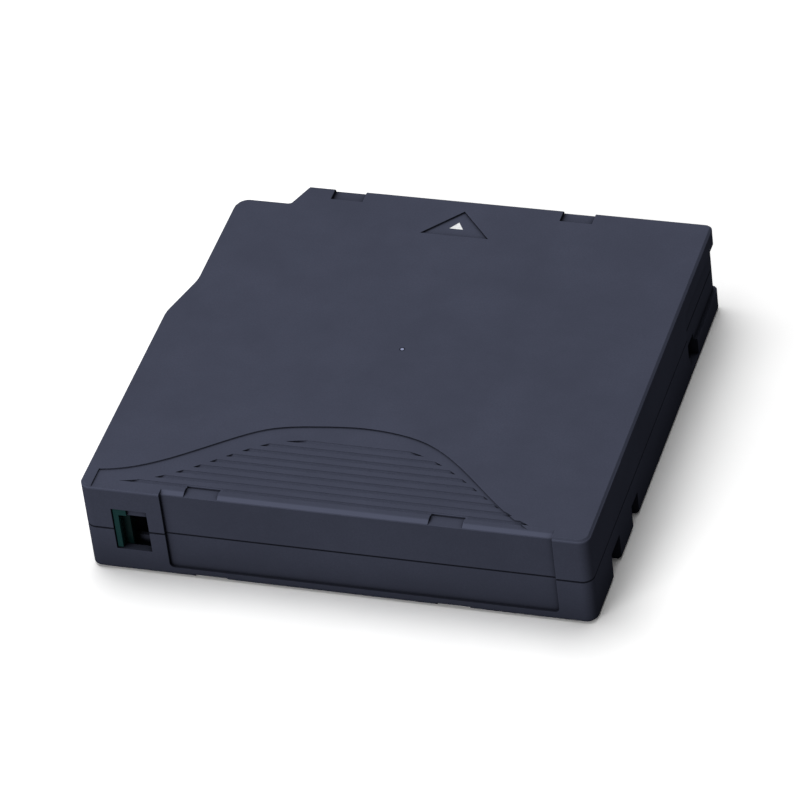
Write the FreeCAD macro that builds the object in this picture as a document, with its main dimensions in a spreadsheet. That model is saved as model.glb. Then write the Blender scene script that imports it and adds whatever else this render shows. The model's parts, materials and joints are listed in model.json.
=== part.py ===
"""A half-inch data tape cartridge: a two-part case, one reel, its lock and a sliding door.

Frame: +Z up, +X right, +Y towards the end that enters a drive. The label face is at the
low end of Y. The origin lies under the middle of the case, on its bottom. Millimetres.
"""
import FreeCAD, Part
import math
import os
import Sketcher

DOCUMENT = FreeCAD.newDocument("tape_cartridge")
VECTOR = FreeCAD.Vector
EDGE_MATCH = 0.001  # two corners this close are the same corner

SIZES = {
    # case, plan and height
    "case_width": 105.4,
    "case_depth": 102.0,
    "case_height": 21.5,
    "side_wall": 1.8,
    "flat_wall": 2.0,
    "door_wall": 0.8,
    "parting_gap": 0.1,
    "parting_bevel": 0.2,
    "top_edge_bevel": 0.5,
    "bottom_edge_bevel": 0.7,
    "near_corner_radius": 2.3,
    "far_corner_radius": 1.5,
    "nose_radius": 0.7,
    "door_corner_radius": 3.0,
    "ramp_blend_radius": 9.0,
    "nose_inset": 17.3,
    "nose_run": 2.4,
    "nose_setback": 6.2,
    "door_step": 3.3,
    "ramp_start_inset": 45.5,
    "ramp_length": 11.5,
    "overcut": 2.0,
    "sink": 0.5,
    "tooth_sink": 0.1,
    # edge notches in the top and bottom faces
    "notch_width": 7.0,
    "notch_reach": 3.8,
    "notch_depth": 0.9,
    "near_notch_left": -27.3,
    "near_notch_right": 23.4,
    "far_notch_left": -26.0,
    "far_notch_right": 24.1,
    # label recess in the label face
    "label_left_inset": 17.0,
    "label_right_inset": 7.3,
    "label_bottom": 2.2,
    "label_depth": 0.7,
    "label_corner_radius": 1.0,
    "label_slope_run": 1.9,
    "label_slope_drop": 0.9,
    # arrow recess
    "arrow_tip_inset": 3.7,
    "arrow_length": 8.4,
    "arrow_width": 14.8,
    "arrow_depth": 0.4,
    # finger grip
    "grip_depth": 0.3,
    "grip_crest": 26.3,
    "grip_left_edge": 2.7,
    "grip_left_foot": 5.5,
    "grip_right_edge": 12.7,
    "grip_right_foot": 2.0,
    "groove_crest": 22.3,
    "groove_field_inset": 5.0,
    "groove_field_foot": 3.0,
    "groove_count": 9,
    "groove_pitch": 2.14,
    "groove_first": 3.5,
    "groove_half_width": 0.5,
    "groove_depth": 0.35,
    # notches and recess along the right side
    "side_notch_length": 6.2,
    "side_notch_height": 6.5,
    "side_notch_inset": 4.3,
    "side_notch_start": 13.8,
    "lock_notch_length": 4.7,
    "lock_notch_height": 5.8,
    "lock_notch_inset": 2.2,
    "lock_notch_start": 29.3,
    "notch_back_wall": 1.2,
    "side_relief_inset": 25.3,
    "side_relief_low": 5.2,
    "side_relief_drop": 4.2,
    "side_relief_depth": 0.9,
    "corner_relief_reach": 2.0,
    "pawl_notch_offset": 1.0,
    "pawl_notch_length": 6.3,
    "pawl_notch_low": 1.5,
    "pawl_notch_high": 6.8,
    "pawl_notch_inset": 1.3,
    # reel opening and reel
    "reel_offset": 1.1,
    "opening_clearance": 0.9,
    "rim_width": 3.0,
    "rim_height": 0.7,
    "seat_gap": 0.3,
    "flange_side_clearance": 2.2,
    "flange_end_clearance": 1.6,
    "flange_thickness": 1.0,
    "flange_lip": 0.5,
    "hub_radius": 22.0,
    "hub_wall": 2.1,
    "hub_boss_step": 1.4,
    "hub_web_underside": 2.2,
    "hub_web_thickness": 2.0,
    "reel_headroom": 1.05,
    "tape_play": 0.15,
    "tape_pack_margin": 2.1,
    "winding_gap": 0.1,
    # drive teeth under the hub
    "drive_tooth_count": 60,
    "drive_tooth_margin": 0.5,
    "drive_tooth_length": 4.2,
    "drive_tooth_height": 1.3,
    "drive_tooth_root_share": 0.72,
    "drive_tooth_tip_share": 0.25,
    # steel drive plate
    "plate_margin": 1.7,
    "plate_thickness": 1.0,
    "plate_pilot_radius": 4.0,
    "plate_pilot_gap": 0.05,
    "plate_pilot_drop": 0.6,
    # reel lock
    "lock_tooth_count": 36,
    "lock_tooth_margin": 6.4,
    "lock_tooth_length": 3.5,
    "lock_tooth_height": 1.2,
    "lock_tooth_root_share": 0.57,
    "lock_tooth_tip_share": 0.285,
    "lock_tooth_clearance": 0.2,
    "lock_pillar_height": 2.2,
    "button_disc_thickness": 1.8,
    "button_disc_margin": 0.7,
    "button_boss_radius": 2.6,
    "button_boss_drop": 0.9,
    "key_width": 2.0,
    "key_headroom": 2.3,
    "key_clearance": 0.15,
    "socket_boss_wall": 0.95,
    "lock_travel": 1.5,
    "socket_end_gap": 0.9,
    "spider_arm_count": 3,
    "spider_arm_width": 4.4,
    "spider_arm_thickness": 1.4,
    "spider_arm_gap": 0.67,
    "spider_disc_margin": 3.5,
    "spider_leg_clearance": 0.2,
    "spider_leg_above_tips": 0.1,
    "spider_nub_radius": 2.0,
    "brake_spring_margin": 1.8,
    "brake_spring_clearance": 1.6,
    "spring_end_gap": 0.1,
    "brake_spring_wire": 0.8,
    "brake_spring_turns": 4.0,
    "brake_spring_stations": 16.0,
    # access door
    "door_gap": 0.25,
    "door_thickness": 1.2,
    "door_edge_gap": 0.3,
    "door_rear_gap": 1.2,
    "door_window_lap": 1.0,
    "door_window_front_gap": 1.1,
    "door_window_margin": 1.0,
    "door_tail_gap": 3.5,
    "door_tail_height": 3.5,
    "door_tail_head": 1.5,
    "door_tail_head_width": 3.1,
    "door_tab_height": 4.4,
    "door_tab_length": 1.2,
    "door_slot_clearance": 0.3,
    "door_rib_width": 0.6,
    "door_rib_height": 0.7,
    "door_rib_rear_inset": 31.0,
    # door spring
    "spring_axis_inset": 3.7,
    "spring_wire": 0.4,
    "spring_radius": 1.2,
    "spring_turns": 14.0,
    "spring_stations": 8.0,
    "spring_peg_radius": 0.8,
    "spring_peg_length": 3.0,
    "spring_seat_inset": 13.0,
    "spring_seat_thickness": 1.5,
    "spring_seat_width": 3.9,
    "spring_seat_rise": 1.8,
    # leader pin, clip and spring
    "pin_inset": 8.1,
    "pin_far_inset": 17.0,
    "pin_neck_radius": 1.3,
    "pin_head_radius": 2.2,
    "pin_head_thickness": 1.2,
    "pin_end_gap": 0.3,
    "pin_edge_bevel": 0.35,
    "pin_seat_clearance": 0.25,
    "pin_seat_back": 3.0,
    "pin_seat_half_length": 3.6,
    "clip_wall": 0.7,
    "clip_clearance": 0.05,
    "clip_end_gap": 1.25,
    "clip_slot": 1.2,
    "pin_spring_wire": 0.3,
    "pin_spring_reach": 3.2,
    "pin_spring_bend": 1.0,
    "pin_spring_post_x": 2.6,
    "pin_spring_post_y": 7.0,
    "pin_spring_post_width": 2.4,
    # tape leader
    "leader_thickness": 0.25,
    "leader_clearance": 0.3,
    # write-protect switch
    "window_left": 6.2,
    "window_width": 7.5,
    "window_low": 5.7,
    "window_drop": 7.4,
    "window_recess_drop": 5.5,
    "window_recess_depth": 0.9,
    "switch_clearance": 0.2,
    "switch_body_width": 5.2,
    "switch_body_thickness": 2.3,
    "switch_body_margin": 1.1,
    "switch_rib_width": 1.1,
    "switch_arm_reach": 2.8,
    "switch_face_drop": 0.3,
    "switch_track_thickness": 1.0,
    "switch_track_lap": 1.4,
    "switch_track_length": 13.0,
    # cartridge memory
    "memory_length": 19.0,
    "memory_width": 10.5,
    "memory_thickness": 0.8,
    "memory_end_gap": 0.7,
    "memory_foot": 0.35,
    "memory_wall_gap": 0.4,
    "memory_chip_size": 3.2,
    "memory_chip_thickness": 0.6,
    "memory_rib_thickness": 1.2,
    "memory_rib_gap": 0.3,
    "memory_rib_count": 3,
    # screws and their bosses
    "screw_shank_radius": 1.0,
    "screw_reach_past_seam": 0.05,
    "screw_head_radius": 1.9,
    "screw_head_height": 1.3,
    "screw_head_depth": 0.5,
    "screw_hole_clearance": 0.2,
    "screw_pilot_clearance": 0.05,
    "screw_counterbore_clearance": 0.3,
    "boss_radius": 2.6,
    "boss_seam_drop": 2.75,
    "boss_gap": 0.1,
    "screw_near_left_in": 7.5,
    "screw_near_left_up": 9.4,
    "screw_near_right_in": 7.7,
    "screw_near_right_up": 15.0,
    "screw_far_left_in": 21.7,
    "screw_far_left_down": 5.4,
    "screw_far_right_in": 7.2,
    "screw_far_right_down": 7.0,
    # locating holes in the bottom
    "locating_radius": 2.0,
    "locating_depth": 4.0,
    "locating_wall": 1.0,
    "locating_slot_length": 2.5,
    "locating_hole_in": 9.7,
    "locating_hole_down": 16.5,
    "locating_slot_in": 12.7,
    "locating_slot_up": 16.0,
}


class Size:
    """A number together with the sheet expression that gives it."""

    def __init__(self, value, text):
        self.value = value
        self.text = text

    def __add__(self, other):
        other = size_of(other)
        return Size(self.value + other.value, f"({self.text} + {other.text})")

    def __sub__(self, other):
        other = size_of(other)
        return Size(self.value - other.value, f"({self.text} - {other.text})")

    def __mul__(self, other):
        other = size_of(other)
        return Size(self.value * other.value, f"({self.text} * {other.text})")

    def __truediv__(self, other):
        other = size_of(other)
        return Size(self.value / other.value, f"({self.text} / {other.text})")

    def __neg__(self):
        return Size(-self.value, f"(0 - {self.text})")


def size_of(item):
    return item if isinstance(item, Size) else Size(float(item), f"({float(item)})")


def smaller(one, other):
    return Size(min(one.value, other.value), f"min({one.text}; {other.text})")


class Sizes:
    """Gives each named cell of the sheet as a Size."""

    def __init__(self, table):
        self.sheet = DOCUMENT.addObject("Spreadsheet::Sheet", "Dimensions")
        for row, (alias, number) in enumerate(table.items(), start=1):
            self.sheet.set(f"A{row}", alias)
            self.sheet.set(f"B{row}", str(number))
            self.sheet.setAlias(f"B{row}", alias)
            setattr(self, alias, Size(number, f"Dimensions.{alias}"))


s = Sizes(SIZES)
DOCUMENT.recompute()
NOTHING = size_of(0)


# ---------------------------------------------------------------- drawing helpers

def bind(item, prop, size):
    size = size_of(size)
    setattr(item, prop, size.value)
    item.setExpression(prop, size.text)


def place(item, x=NOTHING, y=NOTHING, z=NOTHING, axis=(0, 0, 1), angle=0):
    base = VECTOR(size_of(x).value, size_of(y).value, size_of(z).value)
    item.Placement = FreeCAD.Placement(base, FreeCAD.Rotation(VECTOR(*axis), angle))
    for letter, size in (("x", x), ("y", y), ("z", z)):
        item.setExpression(f"Placement.Base.{letter}", size_of(size).text)
    return item


def box(name, x, y, z):
    """A block between two places along each axis."""
    item = DOCUMENT.addObject("Part::Box", name)
    bind(item, "Length", x[1] - x[0])
    bind(item, "Width", y[1] - y[0])
    bind(item, "Height", z[1] - z[0])
    return place(item, x[0], y[0], z[0])


def cylinder(name, radius, z, x=NOTHING, y=NOTHING):
    """An upright cylinder between two heights."""
    item = DOCUMENT.addObject("Part::Cylinder", name)
    bind(item, "Radius", radius)
    bind(item, "Height", z[1] - z[0])
    return place(item, x, y, z[0])


def fuse(name, pieces):
    item = DOCUMENT.addObject("Part::MultiFuse", name)
    item.Shapes = pieces
    item.Refine = True
    return item


def cut(name, base, tools):
    item = DOCUMENT.addObject("Part::Cut", name)
    item.Base = base
    item.Tool = tools[0] if len(tools) == 1 else fuse(name + "_tools", tools)
    item.Refine = True
    return item


def solid(name, shape):
    """A piece whose form no parametric feature gives."""
    item = DOCUMENT.addObject("Part::Feature", name)
    item.Shape = shape
    return item


def around(radius, angle):
    """The place at an angle, in degrees, on a circle about the axis."""
    turn = math.radians(angle)
    across = Size(math.cos(turn), f"cos({float(angle)})")
    along = Size(math.sin(turn), f"sin({float(angle)})")
    return radius * across, radius * along


def new_body(name):
    return DOCUMENT.addObject("PartDesign::Body", name)


def origin_feature(body, role):
    return next(item for item in body.Origin.OriginFeatures if item.Role == role)


def new_sketch(body, name, role="XY_Plane", lift=NOTHING):
    sketch = body.newObject("Sketcher::SketchObject", name)
    sketch.AttachmentSupport = (origin_feature(body, role), [""])
    sketch.MapMode = "FlatFace"
    sketch.AttachmentOffset = FreeCAD.Placement(VECTOR(0, 0, lift.value), FreeCAD.Rotation())
    sketch.setExpression("AttachmentOffset.Base.z", lift.text)
    return sketch


def fix_point(sketch, line, end, x, y):
    for kind, axis_line, size in (("DistanceX", -2, x), ("DistanceY", -1, y)):
        if size.value == 0:
            sketch.addConstraint(Sketcher.Constraint("PointOnObject", line, end, axis_line))
        else:
            number = sketch.addConstraint(Sketcher.Constraint(kind, line, end, size.value))
            sketch.setExpression(f"Constraints[{number}]", size.text)


def draw_polygon(sketch, points):
    points = [(size_of(x), size_of(y)) for x, y in points]
    first = sketch.GeometryCount
    count = len(points)
    corners = [VECTOR(x.value, y.value, 0) for x, y in points]
    for i in range(count):
        sketch.addGeometry(Part.LineSegment(corners[i], corners[(i + 1) % count]), False)
    for i in range(count):
        after = first + (i + 1) % count
        sketch.addConstraint(Sketcher.Constraint("Coincident", first + i, 2, after, 1))
    for i, (x, y) in enumerate(points):
        fix_point(sketch, first + i, 1, x, y)


def draw_circle(sketch, radius, x=NOTHING, y=NOTHING):
    circle = Part.Circle(VECTOR(x.value, y.value, 0), VECTOR(0, 0, 1), radius.value)
    line = sketch.addGeometry(circle, False)
    fix_point(sketch, line, 3, x, y)
    number = sketch.addConstraint(Sketcher.Constraint("Radius", line, radius.value))
    sketch.setExpression(f"Constraints[{number}]", radius.text)


def pad(body, sketch, length):
    item = body.newObject("PartDesign::Pad", sketch.Name + "_pad")
    item.Profile = sketch
    bind(item, "Length", length)
    return item


def pocket(body, sketch, length, upward=False):
    item = body.newObject("PartDesign::Pocket", sketch.Name + "_pocket")
    item.Profile = sketch
    item.Reversed = upward
    bind(item, "Length", length)
    return item


def revolve(body, sketch):
    """Turns a profile, drawn as radius and height, about the upright axis."""
    item = body.newObject("PartDesign::Revolution", sketch.Name + "_turned")
    item.Profile = sketch
    item.ReferenceAxis = (sketch, ["V_Axis"])
    item.Angle = 360
    return item


def turned(name, points):
    body = new_body(name)
    sketch = new_sketch(body, name + "_profile", "XZ_Plane")
    draw_polygon(sketch, points)
    revolve(body, sketch)
    return body


def repeat_around(body, feature, count):
    pattern = body.newObject("PartDesign::PolarPattern", feature.Name + "_ring")
    pattern.Originals = [feature]
    pattern.Axis = (origin_feature(body, "Z_Axis"), [""])
    pattern.Angle = 360
    bind(pattern, "Occurrences", count)
    body.Tip = pattern
    return pattern


def round_edges(body, base, name, radius, edges):
    item = body.newObject("PartDesign::Fillet", name)
    item.Base = (base, edges)
    bind(item, "Radius", radius)
    return item


def bevel_edges(body, base, name, size, edges):
    item = body.newObject("PartDesign::Chamfer", name)
    item.Base = (base, edges)
    bind(item, "Size", size)
    return item


def edges_where(shape, test):
    """Names of the edges whose two ends both pass the test."""
    names = []
    for number, edge in enumerate(shape.Edges, start=1):
        if all(test(vertex.Point) for vertex in edge.Vertexes):
            names.append(f"Edge{number}")
    return names


def upright_edges(shape, places, across=False):
    """Edges that stand at the given places in plan, or in the front view where across is set."""
    names = []
    for x, y in places:
        def near(point):
            height = point.z if across else point.y
            return math.hypot(point.x - x.value, height - y.value) < EDGE_MATCH
        names += edges_where(shape, near)
    return names


def level_edges(shape, height):
    return edges_where(shape, lambda point: abs(point.z - height.value) < EDGE_MATCH)


# ---------------------------------------------------------------- places that pieces share

RIGHT = s.case_width / 2
LEFT = -RIGHT
FAR = s.case_depth / 2
NEAR = -FAR
BOTTOM = NOTHING
TOP = s.case_height
PARTING = s.case_height / 2
FLOOR = s.flat_wall
CEILING = s.case_height - s.flat_wall
LOWER_SEAM = PARTING - s.parting_gap / 2
UPPER_SEAM = PARTING + s.parting_gap / 2

DOOR_SIDE = LEFT + s.door_step
SETBACK = FAR - s.nose_setback
NOSE = LEFT + s.nose_inset
RAMP_START = FAR - s.ramp_start_inset
RAMP_END = RAMP_START + s.ramp_length

INNER_LEFT = LEFT + s.side_wall
INNER_RIGHT = RIGHT - s.side_wall
INNER_NEAR = NEAR + s.side_wall
INNER_FAR = FAR - s.side_wall
INNER_DOOR = DOOR_SIDE + s.door_wall
INNER_SETBACK = SETBACK - s.side_wall

CORNERS = {
    "near_left": (LEFT, NEAR),
    "near_right": (RIGHT, NEAR),
    "far_right": (RIGHT, FAR),
    "nose": (NOSE, FAR),
    "nose_foot": (NOSE - s.nose_run, SETBACK),
    "door_corner": (DOOR_SIDE, SETBACK),
    "ramp_end": (DOOR_SIDE, RAMP_END),
    "ramp_start": (LEFT, RAMP_START),
}
INNER_CORNERS = [
    (INNER_LEFT, INNER_NEAR),
    (INNER_RIGHT, INNER_NEAR),
    (INNER_RIGHT, INNER_FAR),
    (NOSE + s.side_wall, INNER_FAR),
    (NOSE - s.nose_run + s.side_wall, INNER_SETBACK),
    (INNER_DOOR, INNER_SETBACK),
    (INNER_DOOR, RAMP_END),
    (INNER_LEFT, RAMP_START),
]

# reel, outwards from its axis
REEL_X = s.reel_offset
FLANGE_RADIUS = smaller(INNER_RIGHT - REEL_X - s.flange_side_clearance, INNER_FAR - s.flange_end_clearance)
PACK_RADIUS = FLANGE_RADIUS - s.tape_pack_margin
HUB_INNER = s.hub_radius - s.hub_wall
HUB_BOSS = s.hub_radius - s.hub_boss_step
OPENING = HUB_BOSS + s.opening_clearance
DRIVE_OUTER = HUB_INNER - s.drive_tooth_margin
DRIVE_INNER = DRIVE_OUTER - s.drive_tooth_length
LEG_CIRCLE = (DRIVE_INNER + DRIVE_OUTER) / 2
LOCK_OUTER = HUB_INNER - s.lock_tooth_margin
LOCK_INNER = LOCK_OUTER - s.lock_tooth_length

# reel, from the bottom up
REEL_REST = FLOOR + s.rim_height
LOWER_FLANGE = REEL_REST + s.seat_gap
LOWER_FLANGE_TOP = LOWER_FLANGE + s.flange_thickness
UPPER_FLANGE_TOP = CEILING - s.reel_headroom - s.flange_lip
UPPER_FLANGE = UPPER_FLANGE_TOP - s.flange_thickness
PACK_LOW = LOWER_FLANGE_TOP + s.tape_play
PACK_HIGH = UPPER_FLANGE - s.tape_play
WEB_TOP = s.hub_web_underside + s.hub_web_thickness
DRIVE_TIPS = s.hub_web_underside - s.drive_tooth_height

# reel lock, from the web up
LOCK_ROOT = WEB_TOP + s.lock_pillar_height
LOCK_TIP = LOCK_ROOT + s.lock_tooth_height
BUTTON_TIP = LOCK_ROOT + s.lock_tooth_clearance
BUTTON_DISC = LOCK_TIP + s.lock_tooth_clearance
BUTTON_DISC_TOP = BUTTON_DISC + s.button_disc_thickness
BUTTON_FOOT = BUTTON_DISC - s.button_boss_drop
SPIDER_LOW = WEB_TOP + s.seat_gap
SPIDER_HIGH = SPIDER_LOW + s.spider_arm_thickness
SPIDER_NUB_TOP = BUTTON_FOOT - s.seat_gap
SOCKET_MOUTH = BUTTON_DISC_TOP + s.lock_travel + s.socket_end_gap
KEY_TOP = CEILING - s.key_headroom
BRAKE_SPRING_RADIUS = LOCK_INNER - s.brake_spring_margin
SOCKET_BOSS = BRAKE_SPRING_RADIUS - s.brake_spring_wire / 2 - s.brake_spring_clearance
SOCKET_REACH = SOCKET_BOSS - s.socket_boss_wall
KEY_REACH = SOCKET_REACH - s.key_clearance

# access door
DOOR_OUTER = INNER_DOOR + s.door_gap
DOOR_INNER = DOOR_OUTER + s.door_thickness
DOOR_FRONT = INNER_SETBACK - s.door_edge_gap
DOOR_REAR = RAMP_END + s.door_rear_gap
DOOR_LOW = FLOOR + s.door_edge_gap
DOOR_HIGH = CEILING - s.door_edge_gap
DOOR_MIDDLE = PARTING
TAIL_END = RAMP_START - s.door_tail_gap
SPRING_X = LEFT + s.spring_axis_inset
SPRING_FRONT = TAIL_END - s.door_tail_head
SPRING_SEAT = NEAR + s.spring_seat_inset

# leader pin
PIN_X = LEFT + s.pin_inset
PIN_Y = FAR - s.pin_far_inset
PIN_LOW = FLOOR + s.pin_end_gap
PIN_HIGH = CEILING - s.pin_end_gap
PIN_HEAD_TOP = PIN_LOW + s.pin_head_thickness
PIN_HEAD_UNDER = PIN_HIGH - s.pin_head_thickness

# write-protect switch
WINDOW_LEFT = LEFT + s.window_left
WINDOW_RIGHT = WINDOW_LEFT + s.window_width
WINDOW_HIGH = TOP - s.window_drop
WINDOW_RECESS_HIGH = TOP - s.window_recess_drop
SWITCH_RIB_LEFT = WINDOW_LEFT + s.switch_clearance
SWITCH_RIGHT = SWITCH_RIB_LEFT + s.switch_arm_reach
SWITCH_LEFT = SWITCH_RIGHT - s.switch_body_width
SWITCH_FRONT = INNER_NEAR + s.switch_clearance
SWITCH_BACK = SWITCH_FRONT + s.switch_body_thickness
SWITCH_LOW = s.window_low - s.switch_body_margin
SWITCH_HIGH = WINDOW_RECESS_HIGH + s.switch_body_margin
SWITCH_FACE = NEAR + s.switch_face_drop
TRACK_RIGHT = INNER_LEFT + s.switch_track_length
TRACK_BACK = SWITCH_BACK + s.switch_clearance

# screws
SCREWS = [
    (LEFT + s.screw_near_left_in, NEAR + s.screw_near_left_up),
    (RIGHT - s.screw_near_right_in, NEAR + s.screw_near_right_up),
    (LEFT + s.screw_far_left_in, FAR - s.screw_far_left_down),
    (RIGHT - s.screw_far_right_in, FAR - s.screw_far_right_down),
]
SCREW_HEAD_TOP = s.screw_head_depth + s.screw_head_height
SCREW_TIP = PARTING + s.screw_reach_past_seam
LOWER_BOSS_TOP = PARTING - s.boss_seam_drop


# ---------------------------------------------------------------- the case

def shell_blank(name, z, cavity_z, is_upper):
    """Half of the case: its outline, rounded corners, outer rim, seam bevel and cavity."""
    low, high = z
    face = high if is_upper else low
    seam = low if is_upper else high
    body = new_body(name)
    outline = new_sketch(body, name + "_outline", lift=low)
    draw_polygon(outline, list(CORNERS.values()))
    base = pad(body, outline, high - low)
    DOCUMENT.recompute()
    groups = [
        ("near_corners", s.near_corner_radius, ["near_left", "near_right"]),
        ("far_corner", s.far_corner_radius, ["far_right"]),
        ("nose_corners", s.nose_radius, ["nose", "nose_foot"]),
        ("door_corner", s.door_corner_radius, ["door_corner"]),
        ("ramp_blends", s.ramp_blend_radius, ["ramp_end", "ramp_start"]),
    ]
    for label, radius, names in groups:
        edges = upright_edges(base.Shape, [CORNERS[key] for key in names])
        base = round_edges(body, base, f"{name}_{label}", radius, edges)
        DOCUMENT.recompute()
    bevel = s.top_edge_bevel if is_upper else s.bottom_edge_bevel
    base = bevel_edges(body, base, name + "_rim", bevel, level_edges(base.Shape, face))
    DOCUMENT.recompute()
    bevel_edges(body, base, name + "_seam", s.parting_bevel, level_edges(base.Shape, seam))
    cavity = new_sketch(body, name + "_cavity", lift=seam)
    draw_polygon(cavity, INNER_CORNERS)
    pocket(body, cavity, cavity_z[1] - cavity_z[0], upward=is_upper)
    return body


def case_cuts(name):
    """What is cut from both halves: label recess, door window, door slot and switch window."""
    past = s.overcut
    half_slot = s.door_tab_height / 2 + s.door_slot_clearance
    relief_high = TOP - s.side_relief_drop
    cuts = [
        box(name + "_door_window", (DOOR_SIDE - past, INNER_DOOR + past),
            (DOOR_REAR + s.door_window_lap, INNER_SETBACK - s.door_window_front_gap),
            (FLOOR + s.door_window_margin, CEILING - s.door_window_margin)),
        box(name + "_door_slot", (DOOR_SIDE - past, DOOR_INNER + s.door_slot_clearance),
            (INNER_SETBACK - s.door_corner_radius / 2, SETBACK + past),
            (DOOR_MIDDLE - half_slot, DOOR_MIDDLE + half_slot)),
        box(name + "_switch_window", (WINDOW_LEFT, WINDOW_RIGHT),
            (NEAR - past, INNER_NEAR + past), (s.window_low, WINDOW_HIGH)),
        box(name + "_switch_recess", (WINDOW_LEFT, WINDOW_RIGHT),
            (NEAR - past, NEAR + s.window_recess_depth), (s.window_low, WINDOW_RECESS_HIGH)),
        box(name + "_side_relief", (RIGHT - s.side_relief_depth, RIGHT + past),
            (FAR - s.side_relief_inset, FAR + past), (s.side_relief_low, relief_high)),
        box(name + "_corner_relief", (RIGHT - s.corner_relief_reach, RIGHT + past),
            (FAR - s.corner_relief_reach / 2, FAR + past), (s.side_relief_low, relief_high)),
    ]
    left = LEFT + s.label_left_inset
    right = RIGHT - s.label_right_inset
    label = new_body(name + "_label_recess")
    sketch = new_sketch(label, name + "_label_outline", "XZ_Plane", lift=-(NEAR + s.label_depth))
    draw_polygon(sketch, [
        (left, s.label_bottom), (right, s.label_bottom),
        (right, TOP + past), (left, TOP + past),
    ])
    block = pad(label, sketch, s.label_depth + past)
    DOCUMENT.recompute()
    corners = upright_edges(block.Shape, [(left, s.label_bottom), (right, s.label_bottom)], across=True)
    round_edges(label, block, name + "_label_corners", s.label_corner_radius, corners)
    cuts.append(label)
    return cuts


def edge_notches(name, z):
    """The shallow notches that open to the label face and to the leading face."""
    past = s.overcut
    half = s.notch_width / 2
    near = (NEAR - past, NEAR + s.notch_reach)
    far = (FAR - s.notch_reach, FAR + past)
    places = [
        ("near_left", s.near_notch_left, near),
        ("near_right", s.near_notch_right, near),
        ("far_left", s.far_notch_left, far),
        ("far_right", s.far_notch_right, far),
    ]
    return [box(f"{name}_{key}_notch", (x - half, x + half), y, z) for key, x, y in places]


# the grip's flanks as S-curves: share of the reach, share of the rise
LEFT_FLANK = [(1.0, 0.0), (0.86, 0.1), (0.7, 0.33), (0.5, 0.69), (0.4, 0.835), (0.2, 0.955)]
RIGHT_FLANK = [(1.0, 0.0), (0.875, 0.145), (0.7, 0.41), (0.5, 0.715), (0.325, 0.9), (0.125, 0.985)]


def grip_curve(crest, left, right, low):
    """The bell-shaped outline of the finger grip, closed along the label edge.

    Left and right give the reach and the height of the foot on either side.
    """
    near = NEAR.value
    top = near + crest.value
    points = [VECTOR(0, top, low)]
    for share, rise in reversed(LEFT_FLANK):
        foot = near + left[1].value
        points.insert(0, VECTOR(-left[0].value * share, foot + (top - foot) * rise, low))
    for share, rise in reversed(RIGHT_FLANK):
        foot = near + right[1].value
        points.append(VECTOR(right[0].value * share, foot + (top - foot) * rise, low))
    curve = Part.BSplineCurve()
    curve.interpolate(points)
    beyond = near - s.overcut.value
    start_out = VECTOR(points[0].x, beyond, low)
    end_out = VECTOR(points[-1].x, beyond, low)
    edges = [
        curve.toShape(),
        Part.makeLine(points[-1], end_out),
        Part.makeLine(end_out, start_out),
        Part.makeLine(start_out, points[0]),
    ]
    return Part.Face(Part.Wire(edges))


def finger_grip():
    """A shallow sunk field with grooves across it, cut from the top face."""
    field_floor = TOP - s.grip_depth
    groove_floor = field_floor - s.groove_depth
    past = s.overcut
    left = RIGHT - s.grip_left_edge
    right = RIGHT - s.grip_right_edge
    edges = (left, s.grip_left_foot), (right, s.grip_right_foot)
    field = grip_curve(s.grip_crest, *edges, field_floor.value)
    sunk = solid("grip_field", field.extrude(VECTOR(0, 0, past.value)))
    foot = s.groove_field_foot
    edges = (left - s.groove_field_inset, foot), (right, foot)
    inner = grip_curve(s.groove_crest, *edges, groove_floor.value)
    bound = solid("groove_bound", inner.extrude(VECTOR(0, 0, past.value)))
    half = s.groove_half_width
    radius = (half * half + s.groove_depth * s.groove_depth) / (s.groove_depth * 2)
    rollers = []
    for number in range(int(s.groove_count.value)):
        roller = DOCUMENT.addObject("Part::Cylinder", f"groove_{number + 1}")
        bind(roller, "Radius", radius)
        bind(roller, "Height", s.case_width)
        place(roller, LEFT, NEAR + s.groove_first + s.groove_pitch * number, groove_floor + radius,
              axis=(0, 1, 0), angle=90)
        rollers.append(roller)
    grooves = DOCUMENT.addObject("Part::MultiCommon", "grip_grooves")
    grooves.Shapes = [bound, fuse("groove_rollers", rollers)]
    return [sunk, grooves]


def arrow_recess():
    body = new_body("arrow_recess")
    sketch = new_sketch(body, "arrow_outline", lift=TOP - s.arrow_depth)
    tip = FAR - s.arrow_tip_inset
    half = s.arrow_width / 2
    draw_polygon(sketch, [(NOTHING, tip), (-half, tip - s.arrow_length), (half, tip - s.arrow_length)])
    pad(body, sketch, s.overcut)
    return body


def label_slope():
    """The sloping edge of the top face above the label recess."""
    left = LEFT + s.label_left_inset
    right = RIGHT - s.label_right_inset
    body = new_body("label_slope")
    sketch = new_sketch(body, "label_slope_side", "YZ_Plane", lift=left)
    back = NEAR + s.label_depth + s.label_slope_run
    outer = NEAR - s.overcut
    above = TOP + s.overcut
    fall = s.label_slope_drop / s.label_slope_run
    low = TOP - fall * (back - outer)
    draw_polygon(sketch, [(back, TOP), (back, above), (outer, above), (outer, low)])
    pad(body, sketch, right - left)
    return body


def screw_bosses(name, z):
    return [cylinder(f"{name}_boss_{n}", s.boss_radius, z, x, y) for n, (x, y) in enumerate(SCREWS, 1)]


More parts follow.
